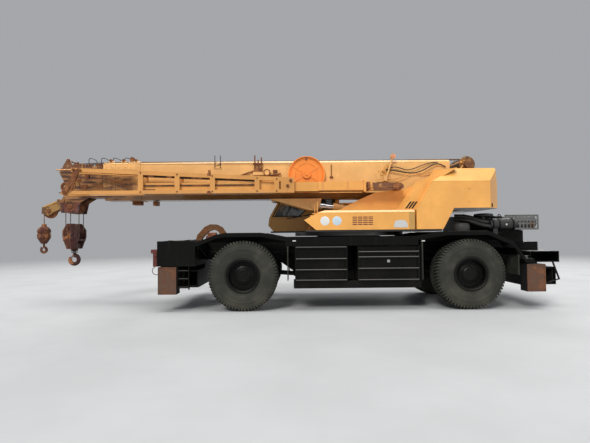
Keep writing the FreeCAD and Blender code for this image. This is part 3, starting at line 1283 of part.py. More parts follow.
def stow_bracket(side):
    """The jib's stowing bracket with its eye and uprights, and two thin rope guides further forward."""
    plate = box(1660, 2340, side - 4, side + 22, 3015, 3175)
    eye = rod("y", 82, 85, (1942, side + 20, 3074))
    block = box(2000, 2270, side + 10, side + 60, 3020, 3100)
    tops = ((2075, 3440), (2150, 3380), (2230, 3490))
    uprights = [rod("z", 13, top - 3060, (x, side + 42, 3060)) for x, top in tops]
    guide = box(3030, 3200, side - 4, side + 16, 3190, 3250)
    guides = [rod("z", 7, 3500 - 3200, (x, side + 10, 3200)) for x in (3050, 3180)]
    return [plate, eye, block, *uprights, guide, *guides]


def boom_section(index):
    """A sliding section: hollow body, open tail, and a collar in front."""
    tail, front = section_tail(index), collar_front(index)
    return join(
        hollow_section(index, tail, front),
        collar(index, front - COLLAR_L, front),
        cheek_guard(index, front),
    )


def cheek_guard(index, front):
    """The small rope guide on a collar's top."""
    _, _, high = section_size(0)
    return box(front - 200, front - 120, -60, 60, high - 4, high + 60)


def head_outline():
    return [
        (6180.0, 3249.0), (6880.0, 3249.0), (6930.0, 3150.0), (6800.0, 2900.0), (6830.0, 2560.0), (6900.0, 2420.0),
        (6880.0, 2180.0), (6480.0, 2160.0), (6420.0, 2420.0), (6180.0, 2571.0),
    ]


def boom_head_section():
    """The innermost section, closed at its front, with the head's cheeks and its cross tubes."""
    index = 3
    half, low, high = section_size(index)
    tail = section_tail(index)
    front = collar_front(2) + MOVE_GAP + 380
    shell = hollow_section(index, tail, front)
    step = box(collar_front(2) + MOVE_GAP, front, -half - 20, half + 20, low - 30, high + 20)
    y = HEAD_CHEEK_Y
    cheeks = [
        prism("xz", head_outline(), *sorted((w * (y - HEAD_CHEEK_T), w * y))) for _, w in SIDES
    ]
    cheeks = [c.common(box(front - 100, 7200, -400, 400, 0, 4000)) for c in cheeks]
    tie_spots = ((6420.0, 3130.0), (6330.0, 2680.0), (6860.0, 3150.0))
    ties = [rod("y", 34, 2 * y - 8, (x, -y + 4, z)) for x, z in tie_spots]
    return join(shell, step, *cheeks, *ties, *rooster_arms(), *head_top())


def head_top():
    """Ears, rollers and their brackets on top of the head."""
    y = HEAD_CHEEK_Y
    ear = [
        (6560.0, 3240.0), (6860.0, 3240.0), (6840.0, 3300.0), (6740.0, 3470.0), (6680.0, 3470.0), (6620.0, 3330.0),
    ]
    ears = [prism("xz", ear, *sorted((w * (y - HEAD_CHEEK_T), w * y))) for _, w in SIDES]
    bar = rod("y", 22, 2 * y, (6710, -y, 3430))
    rollers = []
    for x in (6020.0, 6360.0, 6560.0):
        rollers.append(rod("y", 44, 2 * y - 30, (x, 15 - y, 3312)))
        for w in (1, -1):
            side = [(x - 70, 3240.0), (x + 70, 3240.0), (x + 30, 3355.0), (x - 30, 3355.0)]
            rollers.append(prism("xz", side, *sorted((w * (y - 24), w * (y - 10)))))
    rails = [box(5900, 6660, *sorted((w * (y - 24), w * (y - 8))), 3225, 3285) for w in (1, -1)]
    return [*ears, bar, *rollers, *rails]


def sheave(x, y, z):
    """One sheave with a rope groove."""
    half = SHEAVE_T / 2
    outline = [
        (0, -half), (SHEAVE_R, -half), (SHEAVE_R, -half + 5), (SHEAVE_GROOVE_R, -ROPE_R - 2), (SHEAVE_GROOVE_R, ROPE_R + 2),
        (SHEAVE_R, half - 5), (SHEAVE_R, half), (0, half),
    ]
    return lathe_y(outline, (x, y, z))


HEAD_SHEAVE_Y = (-168.75, -112.5, -56.25, 0.0, 56.25, 112.5, 168.75)


def head_sheaves():
    """Lower sheave row on its pin, the upper guide sheaves on theirs, and the single-line nose's sheave."""
    span = 2 * (HEAD_CHEEK_Y - HEAD_CHEEK_T - SEAT)
    low_pin = rod("y", SHEAVE_PIN_R, span, (HEAD_PIN_X, -span / 2, HEAD_PIN_Z))
    high_pin = rod("y", SHEAVE_PIN_R, span, (HEAD_TOP_PIN_X, -span / 2, HEAD_TOP_PIN_Z))
    low = [sheave(HEAD_PIN_X, y, HEAD_PIN_Z) for y in HEAD_SHEAVE_Y]
    high = [sheave(HEAD_TOP_PIN_X, y, HEAD_TOP_PIN_Z) for y in (-75.0, 75.0)]
    hub_span = 2 * (ROOSTER_ARM_Y - SEAT)
    hub = rod("y", SHEAVE_PIN_R, hub_span, (ROOSTER_PIN_X, -hub_span / 2, ROOSTER_PIN_Z))
    nose = join(hub, sheave(ROOSTER_PIN_X, 0, ROOSTER_PIN_Z))
    return Part.Compound([join(low_pin, *low), join(high_pin, *high), nose])


def rooster_arms():
    """Single-line nose: two arms from the head down and forward, on a bridge between the cheeks."""
    arm = [
        (6880.0, 2520.0), (7010.0, 2500.0), (7420.0, 2330.0), (7430.0, 2170.0), (7270.0, 2120.0), (6900.0, 2330.0),
    ]
    arms = [prism("xz", arm, *sorted((w * ROOSTER_ARM_Y, w * (ROOSTER_ARM_Y + 24)))) for _, w in SIDES]
    bridge = box(6905, 6960, -HEAD_CHEEK_Y - 20, HEAD_CHEEK_Y + 20, 2400, 2500)
    stays = [box(6800, 6960, *sorted((w * HEAD_CHEEK_Y, w * (HEAD_CHEEK_Y + 20))), 2400, 2500) for _, w in SIDES]
    return [*arms, bridge, *stays]


def hose_reel():
    """Spring reel for the boom's cable: a shallow drum with a raised rim on the boom's left side."""
    y0 = BOOM_HALF_W
    outline = [
        (0, 0), (REEL_R - 50, 0), (REEL_R - 50, 30), (REEL_R, 30), (REEL_R, REEL_W - 20), (REEL_R - 24, REEL_W - 20),
        (REEL_R - 40, REEL_W - 40), (110, REEL_W - 40), (100, REEL_W), (0, REEL_W),
    ]
    return lathe_y(outline, (REEL_X, y0, REEL_Z))


def jib_top(x):
    """Height of the top chord's upper face at x."""
    share = (x - JIB_REAR_X) / (JIB_FRONT_X - JIB_REAR_X)
    return JIB_TOP_REAR + share * (JIB_TOP_FRONT - JIB_TOP_REAR)


def jib_frame():
    """Outer jib: two side frames of chords and posts, tied across, tapering towards the rear."""
    c = JIB_CHORD
    t = 80.0
    top = [
        (JIB_REAR_X, jib_top(JIB_REAR_X)), (JIB_FRONT_X, jib_top(JIB_FRONT_X)),
        (JIB_FRONT_X, jib_top(JIB_FRONT_X) - c), (JIB_REAR_X, jib_top(JIB_REAR_X) - c),
    ]
    posts_x = (4690.0, 3870.0, 3080.0, 2080.0, 1640.0)
    pieces = []
    for y0 in (JIB_Y0, JIB_Y1 - t):
        pieces.append(prism("xz", top, y0, y0 + t))
        pieces.append(box(JIB_REAR_X, JIB_FRONT_X + 220, y0, y0 + t, JIB_LOW, JIB_LOW + c - 10))
        for x in posts_x:
            pieces.append(box(x, x + 110, y0, y0 + t, JIB_LOW + 20, jib_top(x) - 20))
        pieces.append(box(JIB_REAR_X, JIB_REAR_X + 300, y0, y0 + t, JIB_LOW, jib_top(JIB_REAR_X) - 10))
    for x in posts_x:
        pieces.append(box(x, x + 60, JIB_Y0 + 10, JIB_Y1 - 10, JIB_LOW + 6, JIB_LOW + 50))
        pieces.append(box(x, x + 60, JIB_Y0 + 10, JIB_Y1 - 10, jib_top(x) - 60, jib_top(x) - 12))
    pieces.append(box(JIB_REAR_X, JIB_REAR_X + 50, JIB_Y0 + 10, JIB_Y1 - 10, JIB_LOW + 6, jib_top(JIB_REAR_X) - 20))
    return carve(join(*pieces, *jib_front_arm()), jib_tube_solid(0))


def jib_front_arm():
    """The slanting arm with its eye, outside the frame's front end, on a boss at each chord."""
    y = JIB_Y1 + 21
    bosses = [rod("y", 42, 65, (x, y - 40, z)) for x, z in ((6110.0, 3088.0), (6430.0, JIB_LOW + 40))]
    arm = prism("xz", [(6060.0, 3100.0), (6160.0, 3120.0), (6490.0, 2600.0), (6400.0, 2550.0)], y, y + 24)
    eye = tube("y", 105, 60, 45, (6400.0, y - 16, 2717.0))
    spike = rod("x", 14, 380, (JIB_FRONT_X - 20, JIB_Y1 - 40, JIB_TOP_FRONT - 40))
    return [*bosses, arm, eye, spike]


def jib_tube_solid(shrink):
    mid = (JIB_Y0 + JIB_Y1) / 2
    w, h = JIB_TUBE_W / 2 - shrink, JIB_TUBE_H / 2 - shrink
    return box(JIB_TUBE_X0, JIB_TUBE_X1, mid - w, mid + w, JIB_TUBE_Z - h, JIB_TUBE_Z + h)


def jib_tube():
    """Inner jib: box tube nested in the frame, a wider end box at the rear, and the forked head with its sheave."""
    mid = (JIB_Y0 + JIB_Y1) / 2
    hollow = jib_tube_solid(8)
    h = JIB_TUBE_H / 2
    end_box = box(JIB_TUBE_X0, 760, mid - 150, mid + 150, JIB_TUBE_Z - h + 16, JIB_TUBE_Z + h - 16)
    barrel = rod("x", 112, 540, (760, mid, JIB_TUBE_Z))
    flange = box(JIB_TUBE_X0 - 30, JIB_TUBE_X0 + 20, mid - 170, mid + 170, JIB_TUBE_Z - 130, JIB_TUBE_Z + 130)
    fork = [
        (JIB_TUBE_X0, JIB_TUBE_Z - 85), (JIB_TUBE_X0, JIB_TUBE_Z + 85), (JIB_HEAD_X + 60, JIB_TUBE_Z + 72),
        (JIB_HEAD_X, JIB_TUBE_Z + 20), (JIB_HEAD_X, JIB_TUBE_Z - 40), (JIB_HEAD_X + 80, JIB_TUBE_Z - 90),
    ]
    plates = [prism("xz", fork, mid + w * 80 - 11, mid + w * 80 + 11) for w in (1, -1)]
    pin = rod("y", 30, 200, (JIB_HEAD_X + 150, mid - 100, JIB_TUBE_Z - 5))
    wheel = rod("y", 78, 60, (JIB_HEAD_X + 150, mid - 30, JIB_TUBE_Z - 5))
    return join(jib_tube_solid(0).cut(hollow), end_box, barrel, flange, *plates, pin, wheel)


def boom():
    export("boom_base", boom_base())
    export("boom_section_2", boom_section(1))
    export("boom_section_3", boom_section(2))
    export("boom_head", boom_head_section())
    export("head_sheaves", head_sheaves())
    export("hose_reel", hose_reel())
    export("jib_frame", jib_frame())
    export("jib_tube", jib_tube())
    export("luff_tubes", pair(luff_tube()))
    export("luff_rods", pair(luff_rod()))


# Hooks
ROPE_REACH = SHEAVE_GROOVE_R + ROPE_R + SEAT  # from a sheave's axis to the rope that leaves it


def rope_falls():
    """The hoist rope's four falls, from the head sheaves' grooves to the block's."""
    low = BLOCK_TOP - BLOCK_PIN_DROP
    return Part.Compound([
        rod("z", ROPE_R, HEAD_PIN_Z - low, (HEAD_PIN_X + way * ROPE_REACH, y, low))
        for way in (1, -1)
        for y in BLOCK_SHEAVE_Y
    ])


def hook_block():
    """Main block: two cheek plates around its sheaves, the trunnion below them, and the rope falls."""
    x, top = HEAD_PIN_X, BLOCK_TOP
    low = top - BLOCK_H
    outline = [
        (x - 90, top), (x + 90, top), (x + BLOCK_HALF_X, top - 160), (x + BLOCK_HALF_X, top - 330),
        (x + 100, low), (x - 100, low), (x - BLOCK_HALF_X, top - 330), (x - BLOCK_HALF_X, top - 160),
    ]
    y = BLOCK_HALF_Y
    cheeks = [prism("xz", outline, *sorted((w * (y - BLOCK_CHEEK_T), w * y))) for _, w in SIDES]
    pin_z = top - BLOCK_PIN_DROP
    pin = rod("y", SHEAVE_PIN_R, 2 * y + 30, (x, -y - 15, pin_z))
    sheaves = [sheave(x, v, pin_z) for v in BLOCK_SHEAVE_Y]
    trunnion = box(x - 95, x + 95, -y + 10, y - 10, low + 10, low + 130)
    collar_ring = rod("z", 78, 60, (x, 0, low - 50))
    return join(*cheeks, pin, *sheaves, trunnion, collar_ring)


def hook_shape(x, top, radius, thick):
    """A forged hook: shank, and a bowl drawn as most of a ring with a pointed tip."""
    centre = V(x, 0, top - 60 - radius)
    bowl = Part.makeTorus(radius - thick, thick, centre, AXIS["y"])
    cut = box(x + thick * 0.4, x + 2 * radius, -2 * thick, 2 * thick, centre.z + thick * 0.3, centre.z + 2 * radius)
    shank = Part.makeCone(thick * 0.9, thick * 0.7, 110, V(x, 0, centre.z + radius - 2 * thick + 10), AXIS["z"])
    tip = Part.makeCone(thick, thick * 0.45, 70, V(x + radius - thick, 0, centre.z), AXIS["z"])
    neck = rod("z", thick * 0.7, top - centre.z - radius + 2 * thick, (x, 0, centre.z + radius - 2 * thick))
    return join(bowl.cut(cut), shank, neck, tip)


def main_hook():
    low = BLOCK_TOP - BLOCK_H - 50
    return hook_shape(HEAD_PIN_X, low - SEAT, HOOK_R, HOOK_THICK)


def aux_hook():
    """Ball weight with ridges on the single line, and the hook under it."""
    x = ROOSTER_PIN_X + ROPE_REACH
    r, top = BALL_R, BALL_TOP
    profile = [
        (0, top), (50, top), (60, top - 60), (r - 30, top - 100), (r, top - 150), (r, top - 210), (r - 12, top - 216),
        (r - 12, top - 240), (r, top - 246), (r, top - 330), (r - 50, top - 420), (60, top - BALL_H), (0, top - BALL_H),
    ]
    corners = [V(x + a, 0, z) for a, z in profile]
    weight = Part.Face(Part.makePolygon(corners + corners[:1])).revolve(V(x, 0, 0), AXIS["z"], 360)
    line = rod("z", ROPE_R, ROOSTER_PIN_Z - top + 10, (x, 0, top - 10))
    return join(weight, line, hook_shape(x, top - BALL_H + 6, HOOK_R * 0.62, HOOK_THICK * 0.66))


def hooks():
    export("rope_falls", rope_falls())
    export("hook_block", hook_block())
    export("main_hook", main_hook())
    export("aux_hook", aux_hook())


os.makedirs(PARTS_DIR, exist_ok=True)
running_gear()
outriggers()
carrier()
superstructure()
boom()
hooks()
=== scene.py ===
import json
import math
import random

import bmesh
import bpy
from mathutils import Matrix, Vector

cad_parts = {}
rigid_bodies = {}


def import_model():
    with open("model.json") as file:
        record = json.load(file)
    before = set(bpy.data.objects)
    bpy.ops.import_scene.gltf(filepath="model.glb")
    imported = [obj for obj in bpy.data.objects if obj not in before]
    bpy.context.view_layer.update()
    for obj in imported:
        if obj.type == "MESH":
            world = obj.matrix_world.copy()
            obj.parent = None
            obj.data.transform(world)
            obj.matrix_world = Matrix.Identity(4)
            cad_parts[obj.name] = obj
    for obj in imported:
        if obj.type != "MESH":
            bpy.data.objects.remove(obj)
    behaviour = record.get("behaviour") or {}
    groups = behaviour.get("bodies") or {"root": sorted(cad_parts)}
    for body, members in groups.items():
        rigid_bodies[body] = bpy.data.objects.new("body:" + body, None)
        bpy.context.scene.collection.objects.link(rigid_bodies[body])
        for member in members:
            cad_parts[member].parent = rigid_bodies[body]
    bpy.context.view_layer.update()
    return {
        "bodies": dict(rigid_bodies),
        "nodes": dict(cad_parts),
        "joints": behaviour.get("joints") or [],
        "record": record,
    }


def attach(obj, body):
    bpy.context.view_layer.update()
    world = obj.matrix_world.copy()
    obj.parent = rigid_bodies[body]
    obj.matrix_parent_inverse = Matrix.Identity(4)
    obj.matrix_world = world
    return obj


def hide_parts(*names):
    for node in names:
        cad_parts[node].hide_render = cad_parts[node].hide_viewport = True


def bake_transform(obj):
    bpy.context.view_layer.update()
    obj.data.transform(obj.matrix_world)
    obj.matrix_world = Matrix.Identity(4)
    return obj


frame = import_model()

random.seed(7)


# The yard: a pale round floor that fades into a plain grey sky, so that no wall hides a raised boom. Broad
# soft suns light it from above and in front, the same at every height. The camera stands at eye height, a
# little forward of the crane's middle and square to its left side.
FLOOR_RADIUS = 90.0
FADE = (11.0, 30.0)  # metres from the crane over which the floor turns into sky
SKY_GREY = (0.375, 0.385, 0.40, 1)
CAMERA_AT = Vector((1.292, 10.8, 1.59))
FOCAL_SHARE = 443.0 / 590.0  # focal length over image width
PITCH = 1.8
ROLL = -0.5


class Shade:
    """One output in a material's node tree. Python's operators on it add Math nodes."""

    def __init__(self, tree, out=None):
        self.tree = tree
        self.out = out

    def add(self, kind, settings=None, inputs=None, output=0):
        """A node of that type, with its settings, then its inputs' values or links; returns one output."""
        node = self.tree.nodes.new("ShaderNode" + kind)
        for key, value in (settings or {}).items():
            setattr(node, key, value)
        for key, value in (inputs or {}).items():
            if isinstance(value, Shade):
                self.tree.links.new(value.out, node.inputs[key])
            else:
                node.inputs[key].default_value = value
        return Shade(self.tree, node.outputs[output])

    def math(self, operation, *values):
        return self.add("Math", {"operation": operation}, dict(enumerate(values)))

    def __add__(self, other):
        return self.math("ADD", self, other)

    def __mul__(self, other):
        return self.math("MULTIPLY", self, other)

    def __sub__(self, other):
        return self.math("SUBTRACT", self, other)

    def __rsub__(self, other):
        return self.math("SUBTRACT", other, self)

    def most(self, other):
        return self.math("MAXIMUM", self, other)

    def least(self, other):
        return self.math("MINIMUM", self, other)

    __radd__ = __add__
    __rmul__ = __mul__

    def over(self, low, high):
        """0 below low, 1 above high, smooth between."""
        return self.add("MapRange", {"interpolation_type": "SMOOTHSTEP"}, {0: self, 1: low, 2: high})

    def blend(self, under, upper):
        """A colour: under where this is 0, upper where it is 1."""
        return self.add("Mix", {"data_type": "RGBA"}, {0: self, 6: under, 7: upper}, 2)

    def stretched(self, x, y, z):
        """These coordinates, with each axis multiplied."""
        return self.add("VectorMath", {"operation": "MULTIPLY"}, {0: self, 1: (x, y, z)})

    def noise(self, scale, detail=3.0, rough=0.55):
        return self.add("TexNoise", {}, {"Vector": self, "Scale": scale, "Detail": detail, "Roughness": rough})

    def part(self, axis):
        """One of these coordinates: 0, 1 or 2."""
        return self.add("SeparateXYZ", {}, {0: self}, axis)


def material(name):
    """A new material: (material, place in the crane's frame, how far its face looks up, its surface shader)."""
    made = bpy.data.materials.new(name)
    made.use_nodes = True
    tree = made.node_tree
    start = Shade(tree)
    where = start.add("TexCoord", output="Object")
    up = start.add("TexCoord", output="Normal").part(2)
    return made, where, up, tree.nodes["Principled BSDF"]


def feed(shader, **sockets):
    """Links or sets the surface shader's sockets; a name's underscores stand for spaces."""
    for name, value in sockets.items():
        socket = shader.inputs[name.replace("_", " ")]
        if isinstance(value, Shade):
            value.tree.links.new(value.out, socket)
        else:
            socket.default_value = value


def bumps(height, strength, distance):
    """A normal from a height."""
    return height.add("Bump", {}, {"Strength": strength, "Distance": distance, "Height": height})


def yard_concrete():
    made, where, up, shader = material("yard_concrete")
    fleck = where.noise(0.6, 5.0)
    feed(shader, Base_Color=fleck.over(0.3, 0.7).blend((0.385, 0.385, 0.38, 1), (0.42, 0.42, 0.415, 1)), Roughness=0.9)
    away = where.add("VectorMath", {"operation": "LENGTH"}, {0: where}, "Value").over(*FADE)
    glow = where.add("Emission", {}, {"Color": SKY_GREY, "Strength": 1.0})
    mixed = where.add("MixShader", {}, {0: away, 1: Shade(where.tree, shader.outputs[0]), 2: glow})
    where.tree.links.new(mixed.out, where.tree.nodes["Material Output"].inputs["Surface"])
    return made


yard = bmesh.new()
bmesh.ops.create_circle(yard, cap_ends=True, segments=96, radius=FLOOR_RADIUS)
yard_mesh = bpy.data.meshes.new("yard_floor")
yard.to_mesh(yard_mesh)
yard.free()
yard_mesh.materials.append(yard_concrete())
floor = bpy.data.objects.new("yard_floor", yard_mesh)
bpy.context.collection.objects.link(floor)

world = bpy.data.worlds.new("sky")
bpy.context.scene.world = world
world.use_nodes = True
paths = world.node_tree.nodes.new("ShaderNodeLightPath")
seen = Shade(world.node_tree, paths.outputs["Is Camera Ray"])
for kind in ("Is Glossy Ray", "Is Transmission Ray"):
    seen = seen.most(Shade(world.node_tree, paths.outputs[kind]))
sky_light = seen.blend((0.387, 0.41, 0.45, 1), SKY_GREY)
world.node_tree.links.new(sky_light.out, world.node_tree.nodes["Background"].inputs["Color"])
world.node_tree.nodes["Background"].inputs["Strength"].default_value = 1.0

LAMPS = (  # name, where it shines from, degrees across, strength
    ("key", (5.0, 11.0, 9.5), 18.0, 2.15),
    ("fill", (-9.0, 9.0, 3.5), 30.0, 0.50),
    ("top", (0.0, 1.0, 12.0), 40.0, 2.30),
    ("back", (-4.0, -10.0, 5.0), 30.0, 1.10),
)
for name, place, across, strength in LAMPS:
    lamp = bpy.data.lights.new("lamp_" + name, "SUN")
    lamp.angle = math.radians(across)
    lamp.energy = strength
    holder = bpy.data.objects.new("lamp_" + name, lamp)
    holder.location = place
    holder.rotation_euler = Vector(place).to_track_quat("Z", "Y").to_euler()
    bpy.context.collection.objects.link(holder)

view = bpy.data.cameras.new("camera")
view.sensor_width = 36.0
view.lens = view.sensor_width * FOCAL_SHARE
camera = bpy.data.objects.new("camera", view)
camera.location = CAMERA_AT
look = Matrix.Rotation(math.pi, 4, "Z") @ Matrix.Rotation(math.radians(90 + PITCH), 4, "X")
camera.rotation_euler = (look @ Matrix.Rotation(math.radians(ROLL), 4, "Z")).to_euler()
bpy.context.collection.objects.link(camera)
bpy.context.scene.camera = camera
bpy.context.scene.view_settings.view_transform = "Standard"


# Tyres: wide earthmover tyres of black rubber, moulded in one piece, with 66 short lugs on each shoulder and a
# groove round the middle. Their side walls are greyed and the tread is brown with yard dust.
ENDS = {"fl": (1, 1), "fr": (1, -1), "rl": (-1, 1), "rr": (-1, -1)}
AXLE_X = 2.4
AXLE_Z = 0.745
WHEEL_Y = 1.23
TYRE_R = 0.745
LUGS = 66


class Work:
    """A mesh being made, in metres, in the crane's own frame."""

    def __init__(self):
        self.mesh = bmesh.new()

    def skin(self, loops, closed):
        """Faces between loops of points that follow each other; closed joins the last loop to the first."""
        rings = [[self.mesh.verts.new(point) for point in loop] for loop in loops]
        for near, far in zip(rings, rings[1:] + rings[:1] if closed else rings[1:]):
            for k in range(len(near)):
                self.mesh.faces.new((near[k], near[k - 1], far[k - 1], far[k]))
        if not closed:
            self.mesh.faces.new(rings[0])
            self.mesh.faces.new(rings[-1])

    def drawn(self, axis, outline, low, high):
        """A flat outline drawn out along an axis; its points are in the other two axes, in x, y, z order."""
        place = {"x": lambda a, b, t: (t, a, b), "y": lambda a, b, t: (a, t, b), "z": lambda a, b, t: (a, b, t)}[axis]
        self.skin([[place(a, b, t) for a, b in outline] for t in (low, high)], False)

    def block(self, x0, x1, y0, y1, z0, z1):
        self.drawn("z", [(x0, y0), (x1, y0), (x1, y1), (x0, y1)], z0, z1)

    def bar(self, start, end, radius, end_radius=None, sides=16):
        """A round bar, or a cone, between two points."""
        a, b = Vector(start), Vector(end)
        side = (b - a).orthogonal().normalized()
        across = (b - a).normalized().cross(side)
        turns = [math.tau * k / sides for k in range(sides)]
        self.skin([
            [at + r * (side * math.cos(t) + across * math.sin(t)) for t in turns]
            for at, r in ((a, radius), (b, radius if end_radius is None else end_radius))
        ], False)

    def turned(self, centre, axis, outline, sides=48):
        """A closed outline of (along the axis, radius) turned once round the axis."""
        cx, cy, cz = centre
        place = {
            "x": lambda a, u, v: (cx + a, cy + u, cz + v),
            "y": lambda a, u, v: (cx + u, cy + a, cz + v),
            "z": lambda a, u, v: (cx + u, cy + v, cz + a),
        }[axis]
        self.skin([
            [place(a, r * math.cos(t), r * math.sin(t)) for a, r in outline]
            for t in (math.tau * k / sides for k in range(sides))
        ], True)

    def bolts(self, centre, axis, circle, count, size, height, first=0.0):
        """Hexagon heads on a bolt circle; height is signed along the axis."""
        cx, cy, cz = centre
        for k in range(count):
            t = math.tau * (k + first) / count
            u, v = circle * math.cos(t), circle * math.sin(t)
            at = Vector({"x": (cx, cy + u, cz + v), "y": (cx + u, cy, cz + v), "z": (cx + u, cy + v, cz)}[axis])
            out = Vector({"x": (height, 0, 0), "y": (0, height, 0), "z": (0, 0, height)}[axis])
            self.bar(at, at + out, size, sides=6)

    def made(self, name, body, finish, slot, edge=0.0, angle=35):
        """The finished piece, riding on its body, with its edges rounded by edge."""
        bmesh.ops.remove_doubles(self.mesh, verts=self.mesh.verts, dist=1e-6)
        bmesh.ops.dissolve_degenerate(self.mesh, edges=self.mesh.edges, dist=1e-6)
        bmesh.ops.recalc_face_normals(self.mesh, faces=self.mesh.faces)
        shape = bpy.data.meshes.new(name)
        self.mesh.to_mesh(shape)
        self.mesh.free()
        shape.shade_smooth()
        shape.set_sharp_from_angle(angle=math.radians(angle))
        shape.materials.append(finish)
        piece = bpy.data.objects.new(name, shape)
        bpy.context.collection.objects.link(piece)
        if edge:
            rounding = piece.modifiers.new("edges", "BEVEL")
            rounding.width = edge
            rounding.segments = 2
            rounding.angle_limit = math.radians(40)
            rounding.harden_normals = True
        if body:
            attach(piece, body)
        return piece


def dress(finish, *nodes):
    """Gives CAD nodes their finish."""
    for node in nodes:
        for place in frame["nodes"][node].material_slots:
            place.material = finish


def dusty_rubber():
    made, where, up, shader = material("dusty_rubber")
    blotch = where.noise(3.0, 5.0)
    grit = where.noise(60.0, 4.0, 0.7)
    low = 1 - where.part(2).over(0.02, 0.55)
    dust = (blotch.over(0.4, 0.7) * 0.55 + low * 0.35) * (0.4 + 0.6 * grit)
    shader.inputs["Specular IOR Level"].default_value = 0.3
    feed(
        shader,
        Base_Color=dust.blend((0.021, 0.0212, 0.0160, 1), (0.085, 0.080, 0.060, 1)),
        Roughness=0.80 + 0.15 * dust,
        Normal=bumps(grit, 0.25, 0.002),
    )
    return made


rubber = dusty_rubber()
TYRE_SIDE = (  # distance from the middle, radius
    (0.218, 0.333), (0.232, 0.350), (0.233, 0.378), (0.247, 0.385), (0.251, 0.396), (0.247, 0.404), (0.253, 0.428),
    (0.2585, 0.455), (0.2595, 0.485), (0.2590, 0.520), (0.2570, 0.552), (0.2590, 0.557), (0.2590, 0.565),
    (0.2560, 0.570), (0.2520, 0.605), (0.2450, 0.642), (0.2330, 0.676), (0.2130, 0.702), (0.1900, 0.713),
)
LUG = ((0.012, 0.700), (0.012, 0.7445), (0.185, 0.7435), (0.220, 0.732), (0.2400, 0.706), (0.2440, 0.672), (0.230, 0.668))
for end, (fore, way) in ENDS.items():
    hub = (fore * AXLE_X, way * WHEEL_Y, AXLE_Z)
    work = Work()
    ring = [(y, r) for y, r in TYRE_SIDE] + [(0.0, 0.714)] + [(-y, r) for y, r in reversed(TYRE_SIDE)]
    work.turned(hub, "y", ring, 108)
    for hand in (1, -1):
        for k in range(LUGS):
            loops = []
            for step in (-0.31, 0.29):
                loop = []
                for y, r in LUG:
                    slant = 0.9 * (y / 0.25)
                    t = math.tau * (k + 0.5 * (hand < 0) + step * (1 if y < 0.2 else 0.86) + slant) / LUGS
                    loop.append((hub[0] + r * math.cos(t), hub[1] + hand * y, hub[2] + r * math.sin(t)))
                loops.append(loop)
            work.skin(loops, False)
    tyre = work.made("tread_" + end, "wheel_" + end, rubber, "tyre", angle=30)
    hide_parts("tyre_" + end)


# Rims: pressed steel barrels with a bolted disc and a cast planetary hub, painted black and dulled by dust.
# Each disc has twenty studs, the hub cover a ring of bolts and a drain plug.
def carrier_paint(name, colour, dust=0.30, rust=0.03, gloss=0.42, shine=0.15):
    made, where, up, shader = material(name)
    blotch = where.noise(2.2, 6.0, 0.6)
    speck = where.noise(52.0, 5.0, 0.65)
    run = where.stretched(11.0, 11.0, 0.8).noise(1.0, 4.0)
    low = 1 - where.part(2).over(0.25, 1.5)
    settled = (up.over(0.4, 0.95) * 1.1 + low * 0.25 + run.over(0.55, 0.8) * 0.3) * blotch.over(0.28, 0.72) * dust
    worn = (speck * 0.4 + blotch * 0.6).over(0.68 - rust, 0.73 - rust)
    dusty = settled.blend(colour + (1,), (0.15, 0.13, 0.10, 1))
    shader.inputs["Specular IOR Level"].default_value = shine
    feed(
        shader,
        Base_Color=worn.blend(dusty, (0.085, 0.036, 0.018, 1)),
        Roughness=gloss + 0.4 * settled + 0.3 * worn,
        Normal=bumps(speck * 0.5 - worn, 0.2, 0.002),
    )
    return made


rim_paint = carrier_paint("rim_paint", (0.0036, 0.0036, 0.0032), dust=0.08, gloss=0.38, shine=0.14)
iron = carrier_paint("iron", (0.014, 0.0135, 0.012), dust=0.35, rust=0.08, gloss=0.6)
for end, (fore, way) in ENDS.items():
    at = lambda out: (fore * AXLE_X, way * (WHEEL_Y + out), AXLE_Z)
    dress(rim_paint, "rim_" + end)
    work = Work()
    work.turned(at(0), "y", [(way * a, r) for a, r in (
        (0.2345, 0.318), (0.246, 0.326), (0.252, 0.340), (0.252, 0.352), (0.246, 0.360), (0.236, 0.362), (0.232, 0.350),
    )], 72)
    work.turned(at(0), "y", [(way * a, r) for a, r in ((0.112, 0.222), (0.132, 0.226), (0.132, 0.242), (0.112, 0.246))], 60)
    work.turned(at(0), "y", [(way * a, r) for a, r in ((0.188, 0.0), (0.202, 0.0), (0.202, 0.040), (0.188, 0.044))], 24)
    work.turned(at(0), "y", [(way * a, r) for a, r in ((0.150, 0.148), (0.168, 0.148), (0.168, 0.165), (0.150, 0.172))], 60)
    work.bolts(at(0.110), "y", 0.275, 20, 0.017, way * 0.030)
    work.bolts(at(0.110), "y", 0.275, 20, 0.009, way * 0.048)
    work.bolts(at(0.166), "y", 0.186, 16, 0.010, way * 0.014)
    work.bolts(at(0.188), "y", 0.098, 10, 0.011, way * 0.012)
    work.bar(at(0.05), (at(0)[0] + 0.20, at(0.105)[1], AXLE_Z + 0.19), 0.008, sides=8)
    work.made("rim_bolts_" + end, "wheel_" + end, rim_paint, "rim_paint", edge=0.0015)


